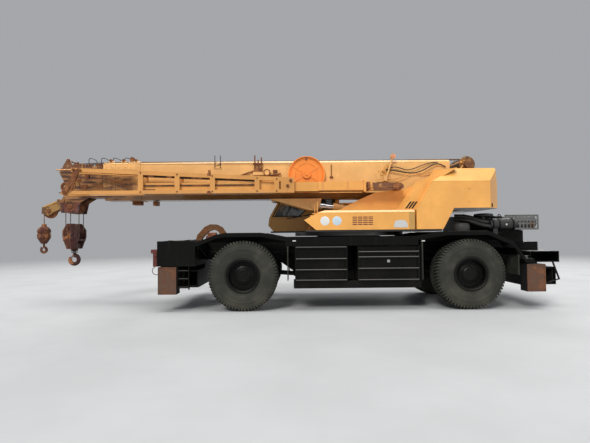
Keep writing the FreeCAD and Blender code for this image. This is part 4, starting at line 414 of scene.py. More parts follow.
# Axles, knuckles, springs and shafts: cast and forged iron under the frame, oily and caked with dust.
# A steering ram lies behind each axle, and each spring pack is clamped to its axle by two U-bolts.
dress(iron, "axles", "springs", "drive_line", "engine_block", *("knuckle_" + end for end in ENDS))
clamps = Work()
rams = Work()
for fore in (1, -1):
    for way in (1, -1):
        for x in (fore * AXLE_X - 0.17, fore * AXLE_X + 0.17):
            for y in (way * 0.322, way * 0.438):
                clamps.bar((x, y, 0.58), (x, y, 1.00), 0.014, sides=10)
                clamps.bar((x, y, 0.985), (x, y, 1.005), 0.024, sides=6)
            clamps.block(x - 0.03, x + 0.03, way * 0.38 - 0.075, way * 0.38 + 0.075, 0.960, 0.985)
    ram_x = fore * (AXLE_X - 0.215)
    rams.bar((ram_x, -0.34, 0.72), (ram_x, 0.34, 0.72), 0.052, sides=24)
    for way in (1, -1):
        rams.bar((ram_x, way * 0.34, 0.72), (ram_x, way * 0.36, 0.72), 0.060, sides=24)
        rams.bar((ram_x, way * 0.36, 0.72), (ram_x, way * 0.60, 0.72), 0.026, sides=16)
        rams.block(ram_x - 0.01, ram_x + fore * 0.06 + 0.01, way * 0.20 - 0.03, way * 0.20 + 0.03, 0.66, 0.78)
clamps.made("spring_clamps", "carrier", iron, "axle_iron")
rams.made("steering_rams", "carrier", iron, "axle_iron", edge=0.002)


# Carrier frame: two welded box girders with the slewing ring bolted on top, in black chassis paint gone grey
# with dust. Air and oil pipes run along the girders, more under bent covers on top of them, and the ring
# stands on a circle of bolts.
carrier_black = carrier_paint("carrier_paint", (0.0032, 0.0032, 0.0027), dust=0.15, shine=0.10)
dress(carrier_black, "chassis_frame", "outrigger_boxes")
GIRDER_Y = 0.44
GIRDER_TOP = 1.40
pipes = Work()
for way in (1, -1):
    for k, z in enumerate((1.16, 1.19, 1.22)):
        y = way * (GIRDER_Y + 0.012 + 0.004 * k)
        pipes.bar((-2.9, y, z), (3.3, y, z), 0.008, sides=8)
    for x in (-2.6, -1.9, -1.2, -0.5, 0.2, 0.9, 1.6, 2.3, 3.0):
        pipes.block(x - 0.02, x + 0.02, way * GIRDER_Y, way * (GIRDER_Y + 0.030), 1.14, 1.24)
pipes.bolts((0.0, 0.0, 1.575), "z", 0.715, 48, 0.013, 0.026)
pipes.made("frame_pipes", "carrier", iron, "axle_iron")
covers = Work()
for way in (1, -1):
    for x0, x1 in ((1.46, 3.38), (-2.48, -1.42)):
        covers.block(x0, x1, way * 0.424, way * 0.438, GIRDER_TOP - 0.004, 1.515)
        covers.block(x0, x1, way * 0.300, way * 0.438, 1.501, 1.515)
covers.made("pipe_covers", "carrier", carrier_black, "carrier_paint", edge=0.003)


# Outriggers: square box beams that slide out sideways, each ending in a jack housing with its float below.
# The housings' end plates are brown, rusted through, with a welded rim round each.
def rusted(name, colour, rust, spread, gloss=0.62):
    """Old paint with rust through it: spread from 0, all paint, to 1, all rust."""
    made, where, up, shader = material(name)
    patch = where.noise(4.5, 7.0, 0.62)
    speck = where.noise(48.0, 5.0, 0.7)
    run = where.stretched(16.0, 16.0, 1.3).noise(1.0, 4.0)
    bare = (patch * 0.55 + run * 0.25 + speck * 0.2).over(0.62 - 0.3 * spread, 0.70 - 0.3 * spread)
    rust_tone = (speck * 0.4 + patch * 0.6).over(0.36, 0.64).blend(
        (rust[0] * 0.42, rust[1] * 0.36, rust[2] * 0.40, 1), (rust[0] * 1.80, rust[1] * 1.75, rust[2] * 1.55, 1)
    )
    paint = patch.over(0.3, 0.75).blend(colour + (1,), tuple(0.72 * c for c in colour) + (1,))
    shader.inputs["Specular IOR Level"].default_value = 0.35
    feed(
        shader,
        Base_Color=bare.blend(paint, rust_tone),
        Roughness=gloss + 0.28 * bare,
        Normal=bumps(speck * 0.6 + patch * 0.4, 0.35, 0.003),
    )
    return made


brown_plate = rusted("brown_plate", (0.098, 0.048, 0.028), (0.088, 0.038, 0.020), 0.5)


def end_plate():
    """The rusty brown of the end plates, black chassis paint on the housing and beam behind them."""
    made = rusted("end_plate", (0.098, 0.048, 0.028), (0.088, 0.038, 0.020), 0.5)
    shader = made.node_tree.nodes["Principled BSDF"]
    old = Shade(made.node_tree, shader.inputs["Base Color"].links[0].from_socket)
    where = old.add("TexCoord", output="Object")
    out = where.part(1).math("ABSOLUTE", where.part(1)).over(1.470, 1.476)
    feed(shader, Base_Color=out.blend((0.0065, 0.0065, 0.0055, 1), old))
    return made


end_brown = end_plate()
steel_grey = rusted("steel_grey", (0.16, 0.16, 0.155), (0.09, 0.05, 0.03), 0.35, gloss=0.42)
OUTRIGGERS = {"fl": (3.985, 1), "fr": (3.590, -1), "rl": (-3.760, 1), "rr": (-4.155, -1)}
for end, (x, way) in OUTRIGGERS.items():
    dress(end_brown, "outrigger_" + end)
    dress(steel_grey, "jack_" + end)
    work = Work()
    for z in (0.43, 0.66, 0.89):
        for side in (-1, 1):
            work.bar((x + side * 0.150, way * 1.4830, z), (x + side * 0.150, way * 1.4896, z), 0.012, sides=6)
    work.block(x - 0.05, x + 0.05, way * 1.4835, way * 1.4865, 0.60, 0.66)
    work.made("outrigger_plate_bolts_" + end, "outrigger_" + end, brown_plate, "rust_paint")
    lock = Work()
    lock.bar((x, way * 1.10, 1.050), (x, way * 1.10, 1.105), 0.022, sides=16)
    lock.bar((x - 0.05, way * 1.10, 1.100), (x + 0.05, way * 1.10, 1.100), 0.009, sides=10)
    lock.made("outrigger_lock_pin_" + end, "carrier", steel_grey, "steel")


# Fenders: one bent deck of chequered sheet down each side, with rubber flaps hanging inside the wheel arches,
# pale reflectors on the edge and a non-slip strip to stand on.
FENDER_FACE = 1.47
dress(carrier_black, "fenders")


def plain(name, colour, rough, metal=0.0, wear=0.12, coat=0.0):
    """A smooth finish with handling marks: enamel, glass beads, bare metal."""
    made, where, up, shader = material(name)
    mark = where.noise(34.0, 5.0, 0.65)
    grime = where.noise(5.0, 4.0).over(0.45, 0.8) * wear
    feed(
        shader,
        Base_Color=grime.blend(colour + (1,), (0.16, 0.13, 0.10, 1)),
        Roughness=rough + 0.25 * grime + 0.08 * mark,
        Metallic=metal - 0.8 * metal * grime,
        Normal=bumps(mark, 0.12, 0.001),
    )
    shader.inputs["Coat Weight"].default_value = coat
    return made


reflector_pale = plain("reflector_pale", (0.52, 0.50, 0.46), 0.3, coat=0.5)
worn_edge = plain("worn_edge", (0.11, 0.105, 0.095), 0.55, wear=0.4)
for way, side in ((1, "left"), (-1, "right")):
    marks = Work()
    for x, z in ((1.313, 1.474), (-1.403, 1.452)):
        marks.block(x - 0.035, x + 0.035, way * 1.466, way * (FENDER_FACE + 0.004), z - 0.012, z + 0.012)
    marks.made("reflectors_" + side, "carrier", reflector_pale, "steel", edge=0.002)
    flaps = Work()
    for x, low, high in ((1.452, 0.64, 1.390), (-1.392, 0.64, 1.545), (-3.416, 0.72, 1.158)):
        flaps.block(x - 0.0105, x + 0.0105, way * 0.928, way * 1.4465, low - 0.002, high)
        flaps.block(x - 0.018, x + 0.018, way * 0.925, way * 1.447, high - 0.06, high - 0.02)
    flaps.made("rubber_flaps_" + side, "carrier", rubber, "tyre")
    grip = Work()
    for x0, z0, x1, z1 in ((2.02, 1.652, 2.76, 1.652), (-2.77, 1.652, -1.93, 1.652)):
        for k in range(14):
            x = x0 + (x1 - x0) * (k + 0.5) / 14
            grip.block(x - 0.018, x + 0.018, way * 1.20, way * 1.44, z0 - 0.001, z0 + 0.0035)
    for x in [3.02 + 0.06 * k for k in range(6)]:
        z = 1.622 - (x - 2.96) * (1.622 - 1.45) / 0.44
        grip.block(x - 0.012, x + 0.012, way * 1.14, way * 1.42, z - 0.006, z + 0.004)
    grip.made("deck_grip_" + side, "carrier", worn_edge, "carrier_paint")
    stays = Work()
    for x, z in ((3.34, 1.40), (1.41, 1.38), (-1.35, 1.38)):
        stays.bar((x, way * 0.46, z - 0.28), (x, way * 1.40, z - 0.03), 0.018, sides=12)
    stays.made("fender_stays_" + side, "carrier", carrier_black, "carrier_paint")


# Front box: sheet steel over the front outriggers, with lids on top, a grille and lamps in its front face, and
# a post with a red lamp and a guard of bent wire at each corner. Each side's hanging step has ridged treads.
dress(carrier_black, "front_body")
glass_clear = plain("glass_clear", (0.55, 0.58, 0.60), 0.08, wear=0.25, coat=1.0)
glass_amber = plain("glass_amber", (0.60, 0.20, 0.02), 0.15, wear=0.2, coat=1.0)
glass_red = plain("glass_red", (0.32, 0.020, 0.012), 0.2, wear=0.35, coat=1.0)
old_red = rusted("old_red", (0.11, 0.022, 0.016), (0.06, 0.018, 0.011), 0.45)
blank_plate = plain("blank_plate", (0.50, 0.50, 0.48), 0.4, wear=0.35)
FRONT_FACE = 4.20
front = Work()
for y in (-0.445, 0.430):
    front.block(FRONT_FACE - 0.002, FRONT_FACE + 0.019, y, y + 0.015, 0.998, 1.312)
for way in (1, -1):
    for y in (0.66, 0.92):
        front.turned((FRONT_FACE + 0.032, way * y, 1.17), "x", (
            (-0.033, 0.1065), (-0.033, 0.1110), (0.003, 0.1110), (0.007, 0.104), (0.005, 0.094), (0.0, 0.094),
        ), 40)
    for x0, x1 in ((3.50, 3.53), (4.07, 4.10)):
        front.block(x0, x1, way * 0.86, way * 0.94, 1.495, 1.502)
    for x in (3.62, 3.98):
        front.bar((x, way * 1.237, 1.501), (x, way * 1.225, 1.501), 0.008, sides=10)
        front.block(x - 0.05, x + 0.05, way * 1.228, way * 1.262, 1.489, 1.505)
front.made("front_grille_and_rings", "carrier", carrier_black, "carrier_paint")
for way, side in ((1, "left"), (-1, "right")):
    lens = Work()
    for y in (0.66, 0.92):
        lens.turned((FRONT_FACE + 0.032, way * y, 1.17), "x", ((-0.001, 0.0), (0.006, 0.0), (0.005, 0.05), (0.002, 0.094), (-0.001, 0.094)), 36)
    lens.made("headlamps_" + side, "carrier", glass_clear, "glass")
    amber = Work()
    amber.block(FRONT_FACE - 0.001, FRONT_FACE + 0.024, way * 1.098, way * 1.242, 1.128, 1.212)
    amber.made("front_indicator_" + side, "carrier", glass_amber, "glass", edge=0.002)
    post = Work()
    post.block(4.196, 4.296, way * 1.332, way * 1.438, 0.955, 1.245)
    post.block(4.192, 4.334, way * 1.304, way * 1.456, 1.236, 1.316)
    post.bar((4.24, way * 1.452, 1.20), (4.24, way * 1.466, 1.20), 0.035, sides=20)
    post.bolts((4.245, way * 1.438, 1.05), "y", 0.030, 4, 0.008, way * 0.008, 0.5)
    post.made("corner_lamp_" + side, "carrier", old_red, "rust_paint", edge=0.006)
    treads = Work()
    middle = 3.65 if way > 0 else 3.965
    for z in (0.522, 0.702, 0.872):
        for y in (1.404, 1.424, 1.444):
            treads.block(middle - 0.105, middle + 0.105, way * y, way * (y + 0.009), z - 0.001, z + 0.003)
    treads.made("step_treads_" + side, "carrier", worn_edge, "carrier_paint")



def hose(name, body, finish, radius, points):
    """A hose, pipe or bent wire along one smooth line."""
    line = bpy.data.curves.new(name, "CURVE")
    line.dimensions = "3D"
    line.bevel_depth = radius
    line.bevel_resolution = 3
    line.use_fill_caps = True
    run = line.splines.new("NURBS")
    run.points.add(len(points) - 1)
    for place, point in zip(run.points, points):
        place.co = (*point, 1)
    run.order_u = 3
    run.use_endpoint_u = True
    run.resolution_u = 5
    line.materials.append(finish)
    piece = bpy.data.objects.new(name, line)
    bpy.context.collection.objects.link(piece)
    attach(piece, body)
    return piece


for way, side in ((1, "left"), (-1, "right")):
    hose("corner_lamp_wire_" + side, "carrier", old_red, 0.007, [
        (4.25, way * 1.40, 0.960), (4.30, way * 1.40, 0.93), (4.325, way * 1.40, 0.87), (4.30, way * 1.40, 0.80),
        (4.22, way * 1.40, 0.78), (4.15, way * 1.40, 0.80), (4.12, way * 1.40, 0.86), (4.12, way * 1.40, 0.965),
    ])
plate = Work()
plate.block(FRONT_FACE - 0.001, FRONT_FACE + 0.006, -0.17, 0.17, 1.33, 1.44)
plate.made("front_blank_plate", "carrier", blank_plate, "steel", edge=0.003)


# Side boxes: the tool locker and the fuel tank's housing between the wheels, ribbed sheet steel with drop
# latches, hinges, a small inspection plate and a filler cap. The raised ribs are scuffed pale.
BOX_FACE = 1.43
dress(carrier_black, "side_boxes")
bare_zinc = plain("bare_zinc", (0.36, 0.36, 0.35), 0.38, metal=0.6, wear=0.4)
for way, side in ((1, "left"), (-1, "right")):
    rims = Work()
    for x0, x1, heights in ((0.19, 1.30, (0.612, 0.83, 1.06, 1.304)), (-1.33, -0.02, (0.612, 0.85, 1.09, 1.20))):
        for z in heights:
            rims.block(x0 + 0.02, x1 - 0.02, way * 1.4555, way * 1.4585, z + 0.030, z + 0.045)
    rims.made("box_rib_scuffs_" + side, "carrier", worn_edge, "carrier_paint")
    latches = Work()
    latches.block(-0.704, -0.644, way * 1.430, way * 1.438, 1.006, 1.062)
    latches.made("box_plate_" + side, "carrier", bare_zinc, "steel", edge=0.002)
    hinges = Work()
    for x, z in ((0.44, 1.245), (1.05, 1.245), (-1.05, 1.142), (-0.30, 1.142)):
        hinges.block(x - 0.035, x + 0.035, way * 1.430, way * 1.440, z - 0.020, z + 0.020)
        hinges.bar((x, way * 1.440, z), (x, way * 1.452, z), 0.011, sides=14)
    for x in (0.36, 0.74, 1.13, -1.18, -0.68, -0.18):
        hinges.bar((x - 0.045, way * 1.444, 0.678), (x + 0.045, way * 1.444, 0.678), 0.010, sides=12)
        hinges.block(x - 0.04, x + 0.04, way * 1.430, way * 1.436, 0.66, 0.72)
    for x in [-1.26 + 0.11 * k for k in range(11)]:
        hinges.bar((x, way * 1.430, 0.960), (x, way * 1.434, 0.960), 0.006, sides=6)
    hinges.bar((-0.675, way * 1.24, 1.350), (-0.675, way * 1.24, 1.362), 0.07, sides=28)
    hinges.made("box_hinges_" + side, "carrier", carrier_black, "carrier_paint")


# Rear end: the box bumper with its tail lamps, a blank plate, the lashing eyes on the outrigger box, and
# the brackets and bent guard rods beside it.
dress(carrier_black, "bumpers")
keeper_brown = rusted("keeper_brown", (0.16, 0.070, 0.024), (0.115, 0.045, 0.016), 0.5)
scorched = rusted("scorched", (0.26, 0.085, 0.040), (0.09, 0.034, 0.018), 0.5)
dress(keeper_brown, "hook_rest")
for way, side in ((1, "left"), (-1, "right")):
    for name, finish, y in (("red", glass_red, 0.735), ("amber", glass_amber, 0.835), ("stop", glass_red, 0.935), ("white", glass_clear, 1.035)):
        lens = Work()
        lens.turned((-4.447, way * y, 1.085), "x", ((0.001, 0.0), (-0.0008, 0.0), (-0.0008, 0.040), (0.001, 0.041)), 24)
        lens.made("tail_lens_" + name + "_" + side, "carrier", finish, "glass")
plate = Work()
plate.block(-4.432, -4.424, -0.165, 0.165, 1.02, 1.15)
plate.made("rear_blank_plate", "carrier", blank_plate, "steel", edge=0.003)
guard = Work()
for way, top_x, foot_x in ((1, -4.30, -4.20), (-1, -4.385, -4.362)):
    for y in (way * 1.13, way * 1.165):
        guard.bar((top_x, y, 0.97), (-4.43, y, 0.60), 0.011, sides=10)
        guard.bar((-4.43, y, 0.60), (foot_x, y, 0.53), 0.011, sides=10)
    for z in (0.66, 0.76, 0.86):
        x = -4.43 + (z - 0.60) / 0.37 * (top_x + 4.43)
        guard.bar((x, way * 1.12, z), (x, way * 1.17, z), 0.008, sides=8)
guard.made("rear_guard_rods", "carrier", iron, "axle_iron")


# Hook keeper: two arched plates of scorched brown steel on the front deck, on bolted feet and tied by bars;
# the travelling hook is lashed to them on the road.
keeper = Work()
for x, z in ((2.995, 1.399), (3.595, 1.4895)):
    keeper.block(x - 0.085, x + 0.085, 0.045, 0.275, z, z + 0.012)
    for side in (-0.06, 0.06):
        for y in (0.062, 0.258):
            keeper.bar((x + side, y, z + 0.010), (x + side, y, z + 0.026), 0.013, sides=6)
for x, z in ((3.24, 1.81), (2.995, 1.60), (3.56, 1.60)):
    keeper.bar((x, 0.064, z), (x, 0.081, z), 0.022, sides=6)
    keeper.bar((x, 0.239, z), (x, 0.256, z), 0.022, sides=6)
keeper.made("hook_keeper_foot", "carrier", keeper_brown, "rust_paint", edge=0.001)
pad = Work()
for z0, z1, grow in ((1.44, 1.60, 0.0), (1.60, 1.675, -0.035)):
    pad.block(3.14 - grow, 3.42 + grow, 0.085, 0.235, z0, z1)
pad.made("hook_keeper_pad", "carrier", scorched, "rust_paint", edge=0.012)


# Engine hood: a sheet cover behind the deck, open below, with louvred side doors, a radiator mesh in its
# sloping rear, lifting eyes and grab handles.
dress(carrier_black, "engine_hood")
hood = Work()
for way in (1, -1):
    for x0, rows in ((-3.85, 3 if way > 0 else 8), (-3.15, 8)):
        for z in [1.50 + 0.045 * k for k in range(rows)]:
            hood.drawn("x", [
                (way * 0.599, z - 0.002), (way * 0.616, z - 0.004), (way * 0.618, z + 0.004), (way * 0.6155, z + 0.019),
                (way * 0.599, z + 0.032),
            ], x0 - 0.003, x0 + 0.503)
    for x in (-3.25, -2.58):
        hood.bar((x, way * 0.599, 1.70), (x, way * 0.614, 1.70), 0.016, sides=14)
    hood.bar((-2.67, way * 0.40, 2.0), (-2.67, way * 0.40, 2.028), 0.024, sides=16)
    for x, y in ((-3.55, 0.30), (-2.63, 0.50)):
        hood.turned((x, way * y, 2.018), "y", ((-0.008, 0.020), (0.008, 0.020), (0.008, 0.036), (-0.008, 0.036)), 24)
for k in range(11):
    y = -0.54 + 0.09 * k
    hood.bar((-3.954, y, 1.665), (-3.626, y, 2.002), 0.006, sides=6)
for k in range(9):
    x, z = -3.952 + 0.328 * (k + 0.5) / 9, 1.665 + 0.337 * (k + 0.5) / 9
    hood.bar((x, -0.55, z), (x, 0.385, z), 0.006, sides=6)
for y in (-0.57, 0.378):
    hood.drawn("y", [(-3.960, 1.66), (-3.622, 2.008), (-3.612, 1.998), (-3.950, 1.65)], y, y + 0.02)
hood.made("hood_louvres", "carrier", carrier_black, "carrier_paint")


# Air cleaner: a black drum in band clamps on the left fender, under a flat rain cap, with two rubber hoses that
# run forward and up beside the hood, and a grey dust drum standing in front of it.
rubber_black = carrier_paint("rubber_black", (0.016, 0.016, 0.015), dust=0.25, rust=-0.3, gloss=0.42, shine=0.4)
dress(rubber_black, "air_cleaner")
CLEANER_Y = 0.96
CLEANER_Z = 1.795
drum = Work()
for x in (-3.52, -3.22, -3.08):
    drum.turned((x, CLEANER_Y, CLEANER_Z), "x", ((0.0, 0.124), (0.0, 0.1345), (0.028, 0.1345), (0.028, 0.124)), 56)
    drum.bar((x + 0.014, CLEANER_Y + 0.02, CLEANER_Z + 0.139), (x + 0.014, CLEANER_Y + 0.07, CLEANER_Z + 0.124), 0.009, sides=8)
drum.bolts((-3.629, CLEANER_Y, CLEANER_Z), "x", 0.050, 8, 0.008, -0.005)
drum.made("air_cleaner_bands", "carrier", carrier_black, "steel")
mark = Work()
mark.turned((-3.348, CLEANER_Y + 0.1275, CLEANER_Z - 0.004), "y", ((-0.003, 0.0), (0.002, 0.0), (0.002, 0.020), (-0.003, 0.022)), 24)
mark.made("air_cleaner_mark", "carrier", blank_plate, "steel")
for name, radius, points in (
    ("intake_hose", 0.050, [
        (-3.02, 0.98, 1.840), (-2.88, 1.03, 1.855), (-2.74, 1.03, 1.890), (-2.60, 0.98, 1.950), (-2.44, 0.92, 1.985), (-2.28, 0.86, 1.985)]),
    ("intake_hose_low", 0.044, [
        (-3.02, 1.03, 1.755), (-2.86, 1.07, 1.765), (-2.72, 1.06, 1.810), (-2.56, 1.01, 1.880), (-2.40, 0.95, 1.915), (-2.26, 0.88, 1.920)]),
):
    hose(name, "carrier", rubber_black, radius, points)
cap = Work()
cap.turned((-2.92, 0.90, 2.0), "z", (
    (0.045, 0.0), (0.045, 0.10), (0.032, 0.195), (0.010, 0.204), (-0.016, 0.201), (-0.026, 0.17), (-0.030, 0.06), (-0.030, 0.0),
), 48)
cap.made("intake_rain_cap", "carrier", rubber_black, "cab_plastic")
dust_grey = carrier_paint("dust_grey", (0.050, 0.049, 0.045), dust=0.45, rust=0.05, gloss=0.5)
canister = Work()
canister.turned((-2.37, 1.06, 1.650), "z", (
    (0.0, 0.0), (0.0, 0.160), (0.018, 0.170), (0.125, 0.168), (0.165, 0.148), (0.182, 0.080), (0.184, 0.0),
), 44)
canister.turned((-2.37, 1.06, 1.70), "z", ((0.0, 0.166), (0.0, 0.1725), (0.016, 0.1725), (0.016, 0.166)), 44)
canister.made("dust_drum", "carrier", dust_grey, "cab_plastic", angle=40)


# Silencer: a grey drum in the hood's cut corner, in two straps, behind a slotted heat guard with a rolled edge,
# its short tail pipe pointing backwards.
guard_grey = rusted("guard_grey", (0.115, 0.115, 0.110), (0.075, 0.045, 0.030), 0.30, gloss=0.5)
dress(guard_grey, "muffler")
guard = Work()
x0, x1, z0, z1 = -4.230, -3.480, 1.685, 2.010
for start, end in (((x0, z0), (x1, z0)), ((x0, z1), (x1, z1)), ((x0, z0), (x0, z1)), ((x1, z0), (x1, z1))):
    guard.bar((start[0], 0.744, start[1]), (end[0], 0.744, end[1]), 0.009, sides=12)
for x in (x0 + 0.155, x1 - 0.135):
    guard.bar((x, 0.747, 1.850), (x, 0.756, 1.850), 0.012, sides=6)
for x in (-4.12, -3.56):
    guard.turned((x, 0.575, 1.850), "x", ((-0.015, 0.142), (-0.015, 0.149), (0.015, 0.149), (0.015, 0.142)), 56)
guard.turned((-4.250, 0.525, 1.880), "x", ((-0.014, 0.028), (-0.014, 0.0395), (0.030, 0.0395), (0.030, 0.028)), 28)
guard.made("silencer_guard", "carrier", guard_grey, "grey_paint")


# Slewing deck: the turntable with its plates that hold the boom's foot, in the crane's amber yellow, near black
# below the deck's top edge. Hydraulic hoses cross it between the plates.
def gloss_paint(name, colour, chip=0.10, mottle=0.0, gloss=0.30, fade=0.10, rusty_from=None):
    """Sun-faded gloss paint: grime in runs, painted shade on faces that look down, small chips down to rust, and
    mottle, from 0 to 1, of rusty patches. rusty_from gives two places along x, between which the patches come in."""
    made, where, up, shader = material(name)
    patch = where.noise(1.7, 6.0, 0.6)
    speck = where.noise(44.0, 5.0, 0.7)
    run = where.stretched(9.0, 9.0, 0.7).noise(1.0, 5.0, 0.6)
    blotch = where.noise(5.0, 6.0, 0.65)
    light = tuple(min(1.0, c * (1 + fade) + 0.02 * fade) for c in colour)
    dark = tuple(c * (1 - 0.9 * fade) for c in colour)
    base = patch.over(0.3, 0.7).blend(dark + (1,), light + (1,))
    streak = run.over(0.60, 0.80) * 0.28 + speck.over(0.62, 0.8) * 0.10
    dirt_and_shade = streak.blend(base, (colour[0] * 0.50, colour[1] * 0.44, colour[2] * 0.40, 1))
    # Painted shade: faces that look down are darkened towards a deep brown, standing in for the shade under things.
    painted_underside_shade = (0 - up).over(0.35, 0.70) * (0.75 + 0.25 * blotch)
    dirt_and_shade = painted_underside_shade.blend(dirt_and_shade, (colour[0] * 0.17, colour[1] * 0.12, colour[2] * 0.09, 1))
    chips = (speck * 0.55 + blotch * 0.45).over(0.66 - 0.12 * chip, 0.69 - 0.12 * chip)
    share = where.part(0).over(*rusty_from) * mottle if rusty_from else mottle
    bare = (blotch * 0.5 + run * 0.3 + patch * 0.2).over(0.68 - 0.30 * share, 0.76 - 0.26 * share)
    rust = (0.35 * chips).most(bare * (2.5 * share)).least(1.0)
    feed(
        shader,
        Base_Color=rust.blend(dirt_and_shade, speck.over(0.3, 0.7).blend((0.105, 0.040, 0.016, 1), (0.21, 0.085, 0.032, 1))),
        Roughness=gloss + 0.22 * streak + 0.40 * rust + 0.06 * patch,
        Normal=bumps(speck * 0.4 - rust, 0.14, 0.0015),
    )
    shader.inputs["Coat Weight"].default_value = 0.25
    return made


YELLOW = (0.745, 0.355, 0.080)
amber = gloss_paint("amber_paint", YELLOW)
amber_used = gloss_paint("amber_used", (0.66, 0.31, 0.070), chip=0.4, mottle=0.22, gloss=0.4)


def deck_paint():
    """The amber paint, near black below the deck's top."""
    made = gloss_paint("deck_paint", YELLOW, chip=0.3, mottle=0.12)
    tree = made.node_tree
    start = Shade(tree)
    where = start.add("TexCoord", output="Object")
    shader = tree.nodes["Principled BSDF"]
    old = Shade(tree, shader.inputs["Base Color"].links[0].from_socket)
    high = (where.part(2) + 0.012 * where.noise(9.0)).over(1.700, 1.716)
    feed(shader, Base_Color=high.blend((0.016, 0.014, 0.011, 1), old))
    return made


dress(deck_paint(), "slew_frame")
deck = Work()
for x, z in ((-2.15, 2.90), (-1.54, 1.95)):
    for way in (1, -1):
        deck.turned((x, way * 0.520, z), "y", [(way * a, r) for a, r in ((0.0, 0.0), (0.014, 0.0), (0.014, 0.085), (0.0, 0.092))], 36)
        deck.bolts((x, way * 0.534, z), "y", 0.060, 6, 0.011, way * 0.010)
deck.block(0.70, 0.86, -0.42, 0.42, 1.70, 1.76)
deck.made("pin_keepers", "superstructure", amber_used, "yellow_paint", edge=0.002)
for k, (y, rise) in enumerate(((-0.36, 0.10), (-0.40, 0.14), (0.37, 0.09), (0.41, 0.13), (0.05, 0.05))):
    hose("deck_hose_%d" % k, "superstructure", rubber_black, 0.017, [
        (0.72, y * 0.8, 1.755), (0.60, y * 0.8, 1.76 + rise), (0.10, y, 1.73 + rise), (-0.50, y, 1.73), (-1.10, y * 1.05, 1.74),
        (-1.60, y * 1.1, 1.74), (-1.95, y * 1.1, 1.80), (-2.10, y * 1.05, 2.05), (-2.20, y, 2.18),
    ])
valves = Work()
for k in range(6):
    x = -0.02 + 0.11 * k
    valves.block(x - 0.045, x + 0.045, -0.16, 0.16, 1.70, 1.83)
    for y in (-0.10, 0.0, 0.10):
        valves.bar((x, y, 1.83), (x, y, 1.86), 0.017, sides=6)
    valves.bar((x, 0.16, 1.77), (x, 0.21, 1.77), 0.020, sides=14)
    valves.bar((x, -0.16, 1.77), (x, -0.21, 1.77), 0.020, sides=14)
valves.made("valve_bank", "superstructure", steel_grey, "steel", edge=0.002)
swing = Work()
swing.bar((0.48, -0.35, 1.70), (0.48, -0.35, 1.98), 0.085, sides=32)
swing.bar((0.48, -0.35, 1.98), (0.48, -0.35, 2.06), 0.055, sides=24)
swing.bolts((0.48, -0.35, 1.72), "z", 0.100, 10, 0.010, 0.016)
swing.bar((0.48, -0.35, 1.70), (0.48, -0.35, 1.725), 0.120, sides=32)
swing.made("slewing_motor", "superstructure", amber_used, "yellow_paint", edge=0.003)


# Left side hood: a pointed box of sheet steel beside the boom, with dark red louvres, two blank round discs, a
# blank plate, a darker olive strip of painted shade at its rear end and a bracket over its nose. Its upper edge is
# folded over at an angle.
dress(amber, "side_hood")
HOOD_FACE = 1.35
louvre_red = rusted("louvre_red", (0.17, 0.040, 0.045), (0.10, 0.035, 0.025), 0.25, gloss=0.5)
slots = Work()
louvres = Work()
for column in range(4):
    for row in range(5):
        x = -0.374 + 0.113 * column
        z = 1.802 + 0.039 * row
        slots.block(x + 0.001, x + 0.097, HOOD_FACE - 0.0085, HOOD_FACE - 0.0060, z + 0.001, z + 0.025)
        louvres.drawn("x", [
            (HOOD_FACE - 0.008, z + 0.0255), (HOOD_FACE + 0.002, z + 0.0275), (HOOD_FACE + 0.004, z + 0.0215), (HOOD_FACE + 0.002, z + 0.0210),
        ], x + 0.001, x + 0.097)
slots.made("louvre_slots", "superstructure", louvre_red, "yellow_paint")
louvres.made("louvre_hoods", "superstructure", amber, "yellow_paint")
disc_white = plain("disc_white", (0.68, 0.68, 0.64), 0.35, wear=0.25)
disc_blue = plain("disc_blue", (0.50, 0.60, 0.66), 0.35, wear=0.25)
for name, finish, x in (("disc_fore", disc_white, 0.652), ("disc_aft", disc_blue, 0.396)):
    disc = Work()
    disc.turned((x, HOOD_FACE, 1.893), "y", ((-0.001, 0.0), (0.002, 0.0), (0.002, 0.092), (0.0, 0.098), (-0.001, 0.098)), 48)
    disc.made(name, "superstructure", finish, "yellow_paint")
plate = Work()
plate.drawn("y", [
    (-1.115, 1.742), (-1.115, 1.80), (-1.085, 1.87), (-1.04, 1.898), (-0.90, 1.898), (-0.845, 1.87), (-0.822, 1.80), (-0.822, 1.742),
], HOOD_FACE - 0.001, HOOD_FACE + 0.002)
plate.made("side_blank_plate", "superstructure", blank_plate, "yellow_paint")
# Painted shade: the darker olive strip at the hood's rear end stands in for the shaded return face there.
end_face_shade = gloss_paint("end_face_shade_paint", (0.45, 0.25, 0.060), chip=0.2, gloss=0.45)
strip = Work()
strip.block(-1.2665, -1.145, HOOD_FACE - 0.001, HOOD_FACE + 0.004, 1.712, 2.068)
strip.made("hood_end_face_shade", "superstructure", end_face_shade, "yellow_paint")
trim = Work()
trim.bar((-1.266, 1.3495, 2.0725), (0.765, 1.3495, 2.0725), 0.0022, sides=6)
trim.bar((-1.266, 1.3020, 2.1195), (0.645, 1.3020, 2.1195), 0.0022, sides=6)
for x in (-0.62, 0.18):
    trim.block(x - 0.002, x + 0.002, HOOD_FACE - 0.001, HOOD_FACE + 0.0012, 1.715, 2.07)
for x in (-0.95, -0.30, 0.50):
    trim.bar((x, 1.26, 2.118), (x, 1.26, 2.126), 0.016, sides=14)
    trim.block(x - 0.04, x + 0.04, 1.245, 1.275, 2.119, 2.123)
trim.made("hood_folded_edge", "superstructure", amber, "yellow_paint")
nose = Work()
nose.block(0.80, 0.818, 1.12, 1.30, 2.05, 2.30)
nose.block(0.78, 0.92, 1.12, 1.30, 2.045, 2.062)
nose.bar((0.86, 1.20, 2.06), (0.86, 1.20, 2.26), 0.010, sides=10)
nose.block(0.90, 0.96, 1.10, 1.30, 1.975, 2.02)
nose.made("nose_bracket", "superstructure", amber_used, "yellow_paint", edge=0.002)


